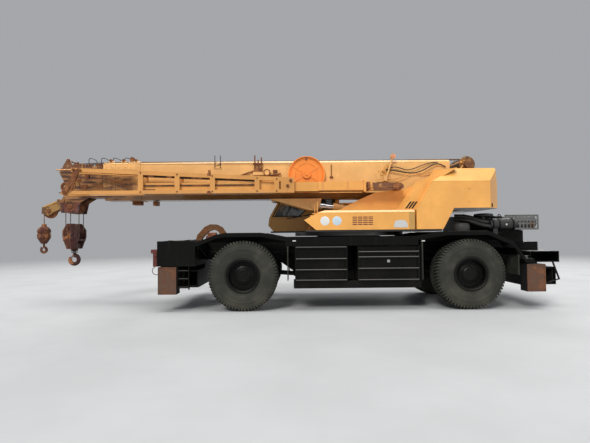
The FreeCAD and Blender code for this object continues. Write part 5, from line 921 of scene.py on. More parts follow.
# Right tank: the hydraulic oil tank behind the cab, held by two straps, with its filler cap, a breather, a
# sight glass and the suction hoses below.
dress(amber, "right_tank")
tank = Work()
for x in (-1.02, -0.18):
    tank.block(x - 0.03, x + 0.03, -1.3565, -1.348, 1.70, 2.424)
    tank.block(x - 0.03, x + 0.03, -1.355, -0.605, 2.418, 2.426)
    tank.bar((x, -1.362, 1.80), (x, -1.362, 1.88), 0.010, sides=10)
tank.turned((-1.007, -1.0, 2.478), "z", ((0.0, 0.0), (0.0, 0.082), (0.026, 0.080), (0.032, 0.070), (0.032, 0.0)), 36)
tank.bar((-0.60, -1.0, 2.42), (-0.60, -1.0, 2.52), 0.030, sides=20)
tank.bar((-0.60, -1.0, 2.50), (-0.60, -1.0, 2.55), 0.052, sides=24)
for x in (-0.86, -0.36):
    tank.bolts((x, -1.35, 2.05), "y", 0.105, 12, 0.009, -0.010)
    tank.turned((x, -1.35, 2.05), "y", ((0.001, 0.0), (-0.006, 0.0), (-0.006, 0.125), (0.001, 0.128)), 40)
tank.made("tank_straps", "superstructure", amber_used, "yellow_paint", edge=0.001)
sight = Work()
sight.block(-0.625, -0.595, -1.362, -1.349, 1.86, 2.28)
sight.made("tank_sight_glass", "superstructure", bare_zinc, "steel", edge=0.003)


# Rear hoods: tall sheet covers each side of the boom foot, with a slanted inner band in front, dark slots low
# on it, a small vent and lamp behind, panel seams, door latches and lifting eyes.
dress(amber, "rear_hoods")
# Painted shade: black strips stand in for the dark openings of the hoods' slots and of an opening further back.
shade_black = carrier_paint("slot_painted_shade", (0.012, 0.010, 0.008), dust=0.1, gloss=0.7)
REAR_FACE = 1.38
for way, side in ((1, "left"), (-1, "right")):
    dark = Work()
    if way > 0:
        for x in (-1.130, -1.193, -1.256):
            dark.drawn("y", [(x, 2.150), (x + 0.040, 2.150), (x - 0.070, 2.300), (x - 0.110, 2.300)], 1.239, 1.2425)
    dark.block(-2.945, -2.860, way * (REAR_FACE - 0.06), way * (REAR_FACE - 0.045), 2.165, 2.245)
    dark.made("hood_slot_shade_" + side, "superstructure", shade_black, "yellow_paint")
    seams = Work()
    seams.drawn("y", [(-1.302, 1.705), (-1.302, 2.118), (-1.640, 2.722), (-1.652, 2.722), (-1.314, 2.118), (-1.314, 1.705)], way * (REAR_FACE - 0.002), way * (REAR_FACE + 0.0035))
    seams.block(-2.872, -1.640, way * (REAR_FACE - 0.002), way * (REAR_FACE + 0.002), 2.716, 2.7275)
    seams.block(-2.868, -2.086, way * (REAR_FACE - 0.002), way * (REAR_FACE + 0.0035), 2.148, 2.160)
    seams.drawn("y", [(-1.850, 1.702), (-2.090, 2.150), (-2.103, 2.150), (-1.863, 1.702)], way * (REAR_FACE - 0.002), way * (REAR_FACE + 0.0035))
    for x in (-2.35, -2.36):
        seams.block(x - 0.0015, x + 0.0015, way * (REAR_FACE - 0.002), way * (REAR_FACE + 0.0012), 2.17, 2.71)
    for z in (2.30, 2.58):
        seams.block(-2.46, -2.40, way * (REAR_FACE - 0.001), way * (REAR_FACE + 0.008), z - 0.022, z + 0.022)
    seams.made("hood_seams_" + side, "superstructure", amber, "yellow_paint")
    back = Work()
    for z in [2.26 + 0.05 * k for k in range(8)]:
        back.drawn("y", [(-3.189, z + 0.024), (-3.203, z + 0.002), (-3.200, z), (-3.189, z + 0.012)], way * 0.60, way * 0.96)
    for z in (2.24, 2.70):
        back.block(-3.194, -3.186, way * 0.585, way * 0.975, z - 0.008, z + 0.008)
    back.made("hood_rear_louvres_" + side, "superstructure", amber, "yellow_paint")
    lamp = Work()
    lamp.turned((-3.190, way * 0.78, 2.80), "x", ((0.001, 0.0), (-0.018, 0.0), (-0.014, 0.03), (0.001, 0.045)), 28)
    lamp.made("hood_rear_lamp_" + side, "superstructure", glass_red, "glass")


# Counterweight: one cast block bolted between the hoods under the winches, with lifting lugs on its back.
dress(amber_used, "counterweight")
lugs = Work()
for way in (1, -1):
    for z in (2.28, 2.42):
        lugs.bar((-3.262, way * 0.36, z), (-3.275, way * 0.36, z), 0.030, sides=6)
    lugs.turned((-3.00, way * 0.43, 2.585), "y", ((-0.011, 0.018), (0.011, 0.018), (0.011, 0.038), (-0.011, 0.038)), 28)
lugs.block(-3.262, -3.256, -0.20, 0.20, 2.26, 2.40)
lugs.made("counterweight_lugs", "superstructure", amber_used, "yellow_paint", edge=0.002)


# Winches: two drums of greased rope, one above the other, between cheek plates; the upper one's pulley bracket
# and guard bars stand above the hoods, rusty brown. Each drum's motor is on its left end.
winch_paint = rusted("winch_paint", (0.26, 0.125, 0.038), (0.085, 0.038, 0.020), 0.55, gloss=0.5)
rope_brown = rusted("rope_brown", (0.060, 0.042, 0.028), (0.075, 0.042, 0.024), 0.5, gloss=0.5)
dress(winch_paint, "winches")
for name, x, z, low, high in (("lower", -2.88, 2.79, 0.128, 0.176), ("upper", -2.80, 3.245, 0.128, 0.170)):
    coils = Work()
    outline = [(-0.308, low)]
    turns = 34
    for k in range(turns):
        y = -0.306 + 0.018 * k
        outline += [(y + 0.001, high - 0.006), (y + 0.005, high - 0.001), (y + 0.009, high), (y + 0.013, high - 0.001), (y + 0.017, high - 0.006)]
    outline.append((0.308, low))
    coils.turned((x, 0.0, z), "y", outline, 40)
    coils.made("winch_rope_" + name, "superstructure", rope_brown, "rope", angle=50)
    ends = Work()
    for way in (1, -1):
        ends.turned((x, 0.0, z), "y", [(way * a, r) for a, r in ((0.352, 0.0), (0.366, 0.0), (0.366, 0.090), (0.352, 0.100))], 36)
        ends.bolts((x, way * 0.354, z), "y", 0.115, 10, 0.010, way * 0.012)
    ends.bar((x, 0.44, z), (x, 0.468, z), 0.070, sides=28)
    ends.bolts((x, 0.466, z), "y", 0.050, 6, 0.010, 0.010)
    ends.made("winch_ends_" + name, "superstructure", winch_paint, "rust_paint", edge=0.002)
bracket = Work()
for y in (-0.34, 0.34):
    bracket.bar((-2.74, y, 3.26), (-2.62, y, 3.10), 0.016, sides=10)
    bracket.block(-2.90, -2.70, y - 0.012, y + 0.012, 3.27, 3.335)
bracket.bar((-2.62, -0.36, 3.10), (-2.62, 0.36, 3.10), 0.020, sides=14)
bracket.bar((-2.66, -0.34, 3.30), (-2.66, 0.34, 3.30), 0.026, sides=16)
bracket.made("winch_guard_bars", "superstructure", amber_used, "rust_paint")


# Cab: a sheet-steel cabin on the right with a raked windscreen, black rubber window seals, wipers, mirrors, a
# roof lamp and grab rails. Its amber is darker all over than the rest: painted shade of the boom's shadow.
# Painted shade: the cab's amber is darker than the crane's other amber, standing in for the boom's shadow over it.
cab_shaded_amber = gloss_paint("cab_shaded_amber", (0.60, 0.300, 0.052), chip=0.25, gloss=0.35)
dress(cab_shaded_amber, "cab_shell", "cab_door")


def tinted():
    """Grey-green safety glass, dusty towards its edges, seen through."""
    made, where, up, shader = material("tinted_glass")
    haze = where.noise(4.0, 5.0).over(0.4, 0.75)
    feed(
        shader,
        Base_Color=haze.blend((0.030, 0.040, 0.040, 1), (0.12, 0.12, 0.11, 1)),
        Roughness=0.06 + 0.22 * haze,
        Alpha=0.42 + 0.20 * haze,
    )
    shader.inputs["Coat Weight"].default_value = 0.6
    return made


dress(tinted(), "cab_glass", "cab_door_glass")
seal_black = carrier_paint("seal_black", (0.014, 0.014, 0.014), dust=0.15, rust=-0.3, gloss=0.55)
CAB_IN = -0.57
CAB_OUT = -1.42


def screen_x(z):
    """The windscreen's outer face at height z."""
    return 1.95 - 0.66 * (z - 2.05) / 1.17


def seal(work, outline, axis, at, width, proud):
    """A rubber strip round a window: its outline as (x, z) or (y, z), on the face at that place."""
    for (a0, b0), (a1, b1) in zip(outline, outline[1:] + outline[:1]):
        if axis == "y":
            work.bar((a0, at + proud * 0.2, b0), (a1, at + proud * 0.2, b1), width, sides=8)
        else:
            work.bar((at(b0) if callable(at) else at, a0, b0), (at(b1) if callable(at) else at, a1, b1), width, sides=8)


def pane(back, frame, low, high, step):
    """A side window's corners: level sill, front edge parallel to the windscreen."""
    return [(back, step), (1.00, step), (1.18 if frame < 0.15 else 1.15, low), (screen_x(low) - frame, low), (screen_x(high) - frame, high), (back, high)]


seals = Work()
seal(seals, pane(0.27, 0.066, 2.08, 3.13, 2.26), "y", CAB_IN, 0.014, 0.010)
seal(seals, [(0.27, 2.26), (0.56, 2.26), (0.56, 3.13), (0.27, 3.13)], "y", CAB_OUT, 0.012, -0.010)
seal(seals, [(-0.66, 2.12), (-0.66, 3.12), (-1.33, 3.12), (-1.33, 2.12)], "x", lambda z: screen_x(z) - 0.004, 0.014, 0.0)
seal(seals, [(-0.72, 2.33), (-0.72, 3.04), (-1.27, 3.04), (-1.27, 2.33)], "x", 0.148, 0.012, 0.0)
seals.made("window_seals", "superstructure", seal_black, "cab_plastic")
seals = Work()
seal(seals, pane(0.68, 0.200, 2.12, 3.11, 2.26), "y", CAB_OUT, 0.012, -0.010)
seals.bar((0.74, -1.424, 2.16), (0.86, -1.424, 2.16), 0.022, sides=12)
seals.bar((0.86, -1.448, 2.16), (0.98, -1.448, 2.16), 0.010, sides=10)
seals.block(1.30, 1.46, -1.4215, -1.4195, 1.90, 1.98)
seals.made("door_seals_and_handle", "cab_door", seal_black, "cab_plastic")
fittings = Work()
for z0, z1 in ((2.22, 2.78), (2.30, 2.86)):
    y0 = -0.86 if z0 < 2.25 else -1.12
    fittings.bar((screen_x(z0 - 0.08) + 0.012, y0, z0 - 0.08), (screen_x(z1) + 0.014, y0 - 0.14, z1), 0.007, sides=8)
    fittings.bar((screen_x(z1 - 0.30) + 0.008, y0 - 0.02, z1 - 0.30), (screen_x(z1 + 0.02) + 0.008, y0 - 0.20, z1 + 0.02), 0.009, sides=6)
    fittings.bar((screen_x(z0 - 0.09), y0, z0 - 0.09), (screen_x(z0 - 0.09) + 0.03, y0, z0 - 0.09), 0.022, sides=14)
fittings.block(0.55, 1.05, -1.22, -0.78, 3.268, 3.276)
fittings.bar((1.10, -1.40, 3.20), (1.62, -1.44, 2.92), 0.010, sides=8)
fittings.bar((1.62, -1.44, 2.92), (1.66, -1.445, 2.62), 0.010, sides=8)
fittings.drawn("x", [(-1.475, 2.60), (-1.405, 2.60), (-1.405, 2.86), (-1.475, 2.86)], 1.655, 1.685)
fittings.bar((1.30, -0.60, 3.16), (1.60, -0.54, 3.05), 0.009, sides=8)
fittings.made("wipers_and_mirror_arm", "superstructure", seal_black, "cab_plastic", edge=0.003)
rails = Work()
rails.bar((0.26, -1.452, 2.30), (0.26, -1.452, 3.00), 0.013, sides=12)
for z in (2.32, 2.98):
    rails.bar((0.26, -1.418, z), (0.26, -1.452, z), 0.012, sides=10)
rails.bar((0.30, -0.545, 2.22), (1.50, -0.545, 2.02), 0.012, sides=12)
for x, z in ((0.34, 2.213), (1.46, 2.027)):
    rails.bar((x, -0.572, z), (x, -0.545, z), 0.011, sides=10)
for x in (1.22, 1.50):
    rails.block(x - 0.012, x + 0.012, -1.45, -1.415, 1.715, 1.735)
rails.made("cab_grab_rails", "superstructure", seal_black, "cab_plastic")
mirror = Work()
mirror.drawn("x", [(-1.466, 2.612), (-1.412, 2.612), (-1.412, 2.848), (-1.466, 2.848)], 1.650, 1.656)
mirror.made("mirror_glass", "superstructure", plain("mirror_silver", (0.75, 0.77, 0.78), 0.06, metal=1.0, wear=0.15), "glass")
lamps = Work()
for y in (-0.72, -1.27):
    lamps.turned((1.050, y, 3.318), "x", (
        (-0.030, 0.0), (-0.030, 0.030), (-0.010, 0.054), (0.0, 0.0595), (0.093, 0.0595), (0.095, 0.052), (0.089, 0.050), (0.0, 0.050),
    ), 28)
lamps.made("roof_lamps", "superstructure", seal_black, "cab_plastic")
lamps = Work()
for y in (-0.72, -1.27):
    lamps.turned((1.139, y, 3.318), "x", ((0.0, 0.0), (0.006, 0.0), (0.004, 0.035), (0.002, 0.050), (0.0, 0.050)), 28)
lamps.made("roof_lamp_lenses", "superstructure", glass_clear, "glass")


# Driver's place: a sprung seat with black cloth cushions, a console with levers, a steering wheel and pedals,
# all matt black plastic and dark cloth.
plastic_black = carrier_paint("plastic_black", (0.024, 0.024, 0.025), dust=0.30, rust=-0.3, gloss=0.5)
dress(plastic_black, "cab_seat", "cab_controls")


def seat_cloth():
    """Black woven cloth with a fine rib and faded high spots."""
    made, where, up, shader = material("seat_cloth")
    weave = where.add("TexWave", {"bands_direction": "DIAGONAL"}, {"Vector": where, "Scale": 160.0, "Distortion": 1.5, "Detail": 2.0})
    worn = where.noise(7.0, 4.0).over(0.4, 0.7)
    feed(shader, Base_Color=worn.blend((0.018, 0.018, 0.020, 1), (0.050, 0.048, 0.046, 1)), Roughness=0.9, Normal=bumps(weave, 0.3, 0.001))
    shader.inputs["Sheen Weight"].default_value = 0.3
    return made


cloth = seat_cloth()


def cushion(name, low, high, lean=0.0, channels=3):
    """A crowned pad: a rounded box whose panels swell between its seams, blown up as cloth and then stitched."""
    middle = [(a + b) / 2 for a, b in zip(low, high)]
    half = [(b - a) / 2 for a, b in zip(low, high)]
    pad = bmesh.new()
    bmesh.ops.create_cube(pad, size=2.0)
    bmesh.ops.subdivide_edges(pad, edges=pad.edges, cuts=9, use_grid_fill=True)
    for v in pad.verts:
        x, y, z = v.co
        pull = 0.86 + 0.10 * (1 - x * x) * (1 - y * y) + 0.03 * (1 - z * z)
        corner = 1 - 0.10 * (x * y) ** 2 - 0.06 * (abs(x) * abs(y) * abs(z)) ** 2
        v.co = (x * half[0] * pull * corner, y * half[1] * pull * corner, z * half[2] * (0.70 + 0.26 * (1 - x * x) * (1 - y * y)))
    shape = bpy.data.meshes.new(name)
    pad.to_mesh(shape)
    pad.free()
    piece = bpy.data.objects.new(name, shape)
    bpy.context.collection.objects.link(piece)
    swell(piece)
    tilt = Matrix.Rotation(lean, 4, "Y")
    for v in piece.data.vertices:
        x, y, z = v.co
        groove = sum(math.exp(-((y / half[1] - (k + 1) * 2 / (channels + 1) + 1) / 0.035) ** 2) for k in range(channels))
        border = math.exp(-((max(abs(x) / half[0], abs(y) / half[1]) - 0.84) / 0.03) ** 2)
        inner = max(abs(x) / half[0], abs(y) / half[1]) < 0.84
        depth = 0.006 * border + (0.008 * groove if inner else 0.0)
        v.co.z = z - math.copysign(depth, z) if abs(z) > half[2] * 0.3 else z
    piece.data.transform(Matrix.Translation(middle) @ tilt)
    piece.data.shade_smooth()
    piece.data.materials.append(cloth)
    smooth = piece.modifiers.new("smooth", "SUBSURF")
    smooth.levels = smooth.render_levels = 1
    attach(piece, "superstructure")
    return piece


def swell(piece):
    """Blows the pad up a little as cloth; no point may move further than 14 mm."""
    bpy.context.view_layer.objects.active = piece
    remesh = piece.modifiers.new("even", "REMESH")
    remesh.mode = "VOXEL"
    remesh.voxel_size = 0.012
    flat = bpy.data.meshes.new_from_object(piece.evaluated_get(bpy.context.evaluated_depsgraph_get()))
    piece.modifiers.clear()
    piece.data = flat
    rest = [v.co.copy() for v in flat.vertices]
    blown = piece.modifiers.new("cloth", "CLOTH")
    blown.settings.use_pressure = True
    blown.settings.uniform_pressure_force = 4.0
    blown.settings.effector_weights.gravity = 0.0
    for step in range(1, 19):
        bpy.context.scene.frame_set(step)
    swollen = bpy.data.meshes.new_from_object(piece.evaluated_get(bpy.context.evaluated_depsgraph_get()))
    piece.modifiers.clear()
    piece.data = swollen
    for v, start in zip(swollen.vertices, rest):
        move = v.co - start
        if move.length > 0.014:
            v.co = start + move.normalized() * 0.014
    bpy.context.scene.frame_set(1)


cushions = [
    cushion("seat_cushion", (0.525, -1.235, 1.995), (1.015, -0.755, 2.125)),
    cushion("back_cushion", (0.215, -1.225, 2.385), (0.865, -0.765, 2.495), lean=math.radians(-103)),
]
base = Work()
base.block(0.63, 0.89, -1.145, -0.845, 1.742, 1.80)
for k in range(6):
    z = 1.80 + 0.030 * k
    wide = 0.125 if k % 2 else 0.105
    base.drawn("z", [(0.76 - wide, -0.995 - wide), (0.76 + wide, -0.995 - wide), (0.76 + wide, -0.995 + wide), (0.76 - wide, -0.995 + wide)], z, z + 0.030)
base.block(0.55, 0.99, -1.215, -0.775, 1.978, 2.000)
base.bar((0.60, -1.228, 2.03), (0.60, -0.762, 2.03), 0.012, sides=12)
for y in (-1.229, -0.773):
    base.drawn("y", [(0.575, 2.00), (0.62, 2.00), (0.60, 2.20), (0.565, 2.20)], y, y + 0.012)
seat_base = base.made("seat_base", "superstructure", plastic_black, "cab_plastic", edge=0.004)
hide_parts("cab_seat")
levers = Work()
for side in (-1, 1):
    y = -0.995 + side * 0.345
    levers.block(0.62, 1.02, y - 0.055, y + 0.055, 1.742, 2.16)
    levers.block(0.60, 1.04, y - 0.065, y + 0.065, 2.16, 2.185)
    for x in (0.84, 0.94):
        levers.bar((x, y, 2.18), (x + 0.01, y, 2.33), 0.007, sides=8)
        levers.turned((x + 0.01, y, 2.34), "z", ((-0.03, 0.0), (-0.03, 0.014), (0.0, 0.021), (0.022, 0.015), (0.028, 0.0)), 18)
levers.block(1.60, 1.80, -1.270, -0.720, 2.119, 2.165)
levers.drawn("y", [(1.62, 2.165), (1.80, 2.165), (1.80, 2.26), (1.70, 2.26)], -1.18, -0.81)
for k in range(5):
    y = -1.13 + 0.068 * k
    levers.bar((1.655, y, 2.212), (1.645, y, 2.217), 0.024, sides=20)
for y in (-1.10, -0.90):
    levers.drawn("y", [(1.46, 1.742), (1.56, 1.742), (1.58, 1.86), (1.56, 1.87)], y - 0.05, y + 0.05)
levers.made("cab_levers", "superstructure", plastic_black, "cab_plastic", edge=0.003)


# Luffing cylinders: two long rams from the turntable up to the boom, amber tubes with end glands and chromed
# rods, fed by steel pipes clipped along each tube.
chrome = plain("chrome_rod", (0.62, 0.62, 0.61), 0.14, metal=1.0, wear=0.35)
dress(amber_used, "luff_tubes")
dress(chrome, "luff_rods")
FOOT = Vector((-1.54, 0.0, 1.95))
ALONG = Vector((0.988846, 0.0, 0.148947))
tubes = Work()
for y in (-0.21, 0.21):
    base = FOOT + Vector((0, y, 0))
    for a, b, r in ((1.78, 1.95, 0.124), (0.20, 0.24, 0.121), (1.00, 1.03, 0.120)):
        tubes.bar(base + ALONG * a, base + ALONG * b, r, sides=40)
    up = ALONG.cross(Vector((0, 1, 0))).normalized()
    up = up if up.z > 0 else -up
    for side in (-0.03, 0.03):
        shift = up * 0.132 + Vector((0, side, 0))
        tubes.bar(base + ALONG * 0.16 + shift, base + ALONG * 1.86 + shift, 0.010, sides=10)
    for a in (0.30, 0.80, 1.30, 1.74):
        tubes.bar(base + ALONG * a + up * 0.118 - Vector((0, 0.05, 0)), base + ALONG * a + up * 0.118 + Vector((0, 0.05, 0)), 0.022, sides=8)
tubes.made("cylinder_glands", "luff_tubes", amber_used, "yellow_paint")


# Boom: four box sections folded from plate and welded, the lower corners cut off, each with a thick collar in
# front; amber outside, and rustier from the collars to the head, with painted shade of the jib's shadow and
# along the boom's bottom there.
def rust_and_painted_shade(made, fore):
    """Rust and old grease over the sides of the boom's front, and painted shade: the jib's shadow below its top chord
    and a maroon band along the bottom. fore gives where it comes in along x.
    """
    shader = made.node_tree.nodes["Principled BSDF"]
    old = Shade(made.node_tree, shader.inputs["Base Color"].links[0].from_socket)
    where = old.add("TexCoord", output="Object")
    patch = where.noise(4.2, 6.0, 0.6)
    smear = where.stretched(1.0, 1.0, 5.0).noise(2.6, 5.0)
    # Below z 3.13 to 3.22 the rust mottle is also painted shade of the jib's shadow; low gives a painted maroon shade
    # along the bottom.
    share = where.part(0).over(*fore) * (1 - where.part(2).over(3.13, 3.22)) * (0.40 + patch).least(1.0)
    low = 1 - where.part(2).over(2.36, 2.52)
    nose = where.part(0).over(6.86, 6.94)
    dark = smear.over(0.38, 0.62).blend((0.050, 0.017, 0.010, 1), (0.34, 0.150, 0.042, 1))
    maroon = patch.over(0.44, 0.56).blend((0.026, 0.007, 0.007, 1), (0.125, 0.034, 0.020, 1))
    ochre = patch.over(0.45, 0.60).blend((0.31, 0.165, 0.045, 1), (0.11, 0.048, 0.016, 1))
    brown = nose.blend(low.blend(dark, maroon), ochre)
    feed(shader, Base_Color=share.most(low * where.part(0).over(6.0, 6.1)).most(nose).blend(old, brown))
    return made


boom_amber = rust_and_painted_shade(gloss_paint("boom_amber", (0.76, 0.415, 0.135), chip=0.16), (4.90, 5.20))
dress(boom_amber, "boom_base", "boom_section_2", "boom_section_3")
head_paint = gloss_paint("head_paint", (0.66, 0.33, 0.090), chip=0.4, mottle=0.95, gloss=0.42, rusty_from=(5.35, 5.80))
dress(rust_and_painted_shade(head_paint, (5.40, 5.90)), "boom_head")
rust_metal = rusted("rust_metal", (0.28, 0.105, 0.030), (0.115, 0.040, 0.016), 0.6)
dress(rust_metal, "head_sheaves")
COLLARS = (("boom_base", 4.95, 5.24), ("boom_section_2", 5.246, 5.536), ("boom_section_3", 5.542, 5.832))
for body, x0, x1 in COLLARS:
    frame_strip = Work()
    half, low, high = (0.344, 2.446, 3.374) if body == "boom_base" else (0.33, 2.46, 3.36)
    for way in (1, -1):
        for x in (x0 + 0.06, x1 - 0.06):
            for k in range(5):
                z = 2.70 + 0.135 * k
                frame_strip.bar((x, way * half, z), (x, way * (half + 0.012), z), 0.014, sides=6)
        frame_strip.block(x0 + 0.10, x1 - 0.10, way * half, way * (half + 0.006), 2.66, 3.28)
    for y in (-0.14, 0.14):
        frame_strip.bar((x0 + 0.08, y, high), (x0 + 0.08, y, high + 0.028), 0.018, sides=6)
        frame_strip.block(x0 + 0.03, x0 + 0.17, y - 0.05, y + 0.05, high - 0.001, high + 0.014)
    frame_strip.made("collar_bolts_" + body, body, boom_amber, "yellow_paint", edge=0.001)
welds = Work()
for way in (1, -1):
    for z in (2.592, 3.314):
        welds.bar((-2.30, way * 0.3295, z), (4.95, way * 0.3295, z), 0.0035, sides=6)
    for x in (0.20, 3.30):
        welds.bar((x, way * 0.3300, 2.60), (x, way * 0.3300, 3.31), 0.0030, sides=6)
welds.made("boom_weld_seams", "boom_base", boom_amber, "yellow_paint")
sides = Work()
sides.turned((1.942, 0.395, 3.074), "y", ((-0.03, 0.058), (-0.03, 0.0835), (0.044, 0.0835), (0.044, 0.058)), 32)
for x, top in ((2.075, 3.440), (2.150, 3.380), (2.230, 3.490)):
    sides.bar((x, 0.372, 3.06), (x, 0.372, top), 0.0155, sides=12)
    sides.bar((x, 0.372, 3.26), (x, 0.372, 3.30), 0.024, sides=6)
sides.bar((2.04, 0.372, 3.285), (2.27, 0.372, 3.285), 0.020, sides=12)
sides.bar((1.62, 0.375, 3.055), (1.86, 0.395, 3.005), 0.022, sides=12)
sides.bar((2.26, 0.385, 3.12), (2.62, 0.352, 3.00), 0.017, sides=10)
sides.block(2.050, 2.250, 0.352, 0.394, 3.100, 3.190)
sides.block(1.70, 1.80, 0.352, 0.390, 3.030, 3.140)
sides.bar((0.42, 0.350, 2.95), (0.42, 0.350, 3.26), 0.009, sides=8)
sides.block(0.38, 0.46, 0.329, 0.356, 2.94, 2.98)
sides.made("stow_brackets", "boom_base", rust_metal, "rust_paint", edge=0.001)
foot = Work()
for x, z in ((-0.70, 2.90), (-0.70, 3.10), (-0.93, 2.90), (-0.93, 3.04)):
    foot.bar((x, 0.351, z), (x, 0.364, z), 0.016, sides=6)
foot.bar((-0.80, 0.35, 3.10), (-0.80, 0.42, 3.10), 0.028, sides=16)
foot.drawn("y", [(-0.74, 2.99), (-0.86, 2.99), (-0.93, 3.24), (-0.90, 3.25), (-0.74, 3.06)], 0.352, 0.366)
foot.turned((-1.030, 0.405, 3.430), "y", ((-0.044, 0.056), (-0.044, 0.0615), (0.048, 0.0615), (0.048, 0.054), (0.044, 0.054)), 32)
foot.made("post_foot", "boom_base", amber_used, "yellow_paint", edge=0.001)
post_glass = Work()
post_glass.turned((-1.030, 0.449, 3.430), "y", ((0.0, 0.0), (0.008, 0.0), (0.006, 0.034), (0.001, 0.054), (0.0, 0.054)), 32)
post_glass.made("post_lamp_lens", "boom_base", plain("glass_rose", (0.62, 0.24, 0.12), 0.2, wear=0.2, coat=1.0), "glass")
for name, finish, radius, points in (
    ("boom_hose_1", rubber_black, 0.014, [
        (-0.86, 0.40, 3.13), (-1.05, 0.41, 3.10), (-1.30, 0.41, 3.05), (-1.50, 0.40, 3.03), (-1.70, 0.40, 3.08), (-1.90, 0.40, 3.19),
        (-2.02, 0.39, 3.25), (-2.16, 0.38, 3.25), (-2.28, 0.36, 3.18)]),
    ("boom_hose_2", amber_used, 0.010, [
        (-0.92, 0.40, 2.90), (-1.10, 0.41, 2.90), (-1.30, 0.41, 2.96), (-1.48, 0.40, 3.05), (-1.66, 0.40, 3.02), (-1.86, 0.40, 3.04),
        (-2.04, 0.39, 3.10), (-2.24, 0.37, 3.10)]),
    ("boom_hose_3", rubber_black, 0.011, [
        (-0.88, 0.39, 3.10), (-1.00, 0.395, 3.20), (-1.20, 0.395, 3.16), (-1.36, 0.39, 3.10), (-1.52, 0.39, 3.14), (-1.72, 0.38, 3.22),
        (-1.90, 0.37, 3.28), (-2.10, 0.36, 3.30)]),
):
    hose(name, "boom_base", finish, radius, points)
wires = Work()
for x in (3.05, 3.18):
    wires.bar((x, 0.340, 3.20), (x, 0.340, 3.499), 0.0085, sides=8)
    wires.bar((x, 0.345, 3.22), (x, 0.353, 3.22), 0.012, sides=6)
wires.bar((3.05, 0.345, 3.29), (3.18, 0.345, 3.235), 0.006, sides=8)
wires.made("rope_guide_wires", "boom_base", iron, "rust_paint")
under = Work()
for x0, x1, low in ((5.02, 5.22, 2.36), (4.62, 4.72, 2.34)):
    under.block(x0, x1, -0.11, 0.11, low, 2.448)
    under.bar(((x0 + x1) / 2, -0.13, low + 0.03), ((x0 + x1) / 2, 0.13, low + 0.03), 0.024, sides=14)
under.made("boom_belly_brackets", "boom_base", rust_metal, "rust_paint", edge=0.003)


# Hoist ropes: greased steel wire from the two winches, forward over the boom's top through the guides on the
# collars, and down over the head's upper sheaves.
for name, y in (("main", -0.056), ("aux", 0.056)):
    for part, a, b, start, end, points in (
        ("foot", "superstructure", "boom_base", (-2.66, y, 3.41), (-1.75, y, 3.41), [
            (-2.78, y, 3.412), (-2.66, y, 3.411), (-1.75, y, 3.408), (-1.30, y, 3.406)]),
        ("base", "boom_base", "boom_section_2", (5.10, y, 3.40), (5.34, y, 3.40), [(-1.30, y, 3.406), (1.5, y, 3.402), (5.10, y, 3.405), (5.34, y, 3.405)]),
        ("mid", "boom_section_2", "boom_section_3", (5.34, y, 3.40), (5.64, y, 3.40), [(5.34, y, 3.405), (5.64, y, 3.405)]),
        ("head", "boom_section_3", "boom_head", (5.64, y, 3.40), (6.10, y, 3.40), [
            (5.64, y, 3.405), (6.10, y, 3.395), (6.52, y * 1.2, 3.375), (6.68, y * 1.3, 3.345), (6.76, y * 1.35, 3.27), (6.785, y * 1.35, 3.12),
            (6.795, y * 1.35, 2.95), (6.799, y * 1.35, 2.83)]),
    ):
        line = Work()
        rings = []
        for k, at in enumerate(points):
            near, far = Vector(points[max(0, k - 1)]), Vector(points[min(len(points) - 1, k + 1)])
            along = (far - near).normalized()
            across = Vector((0, 1, 0))
            up = along.cross(across)
            rings.append([Vector(at) + 0.009 * (across * math.cos(t) + up * math.sin(t)) for t in [math.tau * s / 10 for s in range(10)]])
        line.skin(rings, False)
        rope = line.made("hoist_rope_%s_%s" % (name, part), None, rope_brown, "rope")
        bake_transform(rope)


# Cable reel: a flat spring drum of orange-painted sheet on the boom's left side, with pressed rings, a bolted
# hub cap and the signal cable that it pays out along the boom.
orange = gloss_paint("orange_paint", (0.80, 0.235, 0.030), chip=0.15, gloss=0.35)
dress(orange, "hose_reel")
REEL = (1.01, 0.0, 3.022)
reel = Work()
reel.turned((REEL[0], 0.41, REEL[2]), "y", ((-0.002, 0.365), (0.012, 0.372), (0.012, 0.380), (-0.002, 0.387)), 72)
reel.turned((REEL[0], 0.41, REEL[2]), "y", ((-0.002, 0.250), (0.006, 0.256), (0.006, 0.262), (-0.002, 0.268)), 72)
for k in range(6):
    t = math.tau * (k + 0.5) / 6
    a = Vector((REEL[0] + 0.13 * math.cos(t), 0.411, REEL[2] + 0.13 * math.sin(t)))
    b = Vector((REEL[0] + 0.36 * math.cos(t), 0.411, REEL[2] + 0.36 * math.sin(t)))
    reel.bar(a, b, 0.008, sides=8)
reel.bolts((REEL[0], 0.449, REEL[2]), "y", 0.075, 8, 0.010, 0.010)
reel.turned((REEL[0], 0.449, REEL[2]), "y", ((0.0, 0.0), (0.018, 0.0), (0.018, 0.030), (0.0, 0.036)), 28)
reel.made("reel_rings", "boom_base", orange, "orange_paint")
rim = Work()
rim.turned((REEL[0], 0.395, REEL[2]), "y", ((-0.036, 0.4290), (-0.036, 0.4300), (-0.010, 0.4303), (-0.010, 0.4290)), 96)
rim.block(1.00, 1.03, 0.425, 0.433, 3.36, 3.43)
rim.made("reel_dark_rim", "boom_base", louvre_red, "orange_paint")
for name, a, b, start, end, p, q in (
    ("base", "boom_base", "boom_section_2", 5.08, 5.33, (1.30, 0.372, 3.30), (5.33, 0.366, 3.345)),
    ("mid", "boom_section_2", "boom_section_3", 5.33, 5.63, (5.33, 0.366, 3.345), (5.63, 0.366, 3.345)),
    ("head", "boom_section_3", "boom_head", 5.63, 6.00, (5.63, 0.366, 3.345), (6.20, 0.27, 3.30)),
):
    line = Work()
    line.bar(p, q, 0.006, sides=8)
    cable = line.made("signal_cable_" + name, None, rubber_black, "cab_plastic")
    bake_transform(cable)


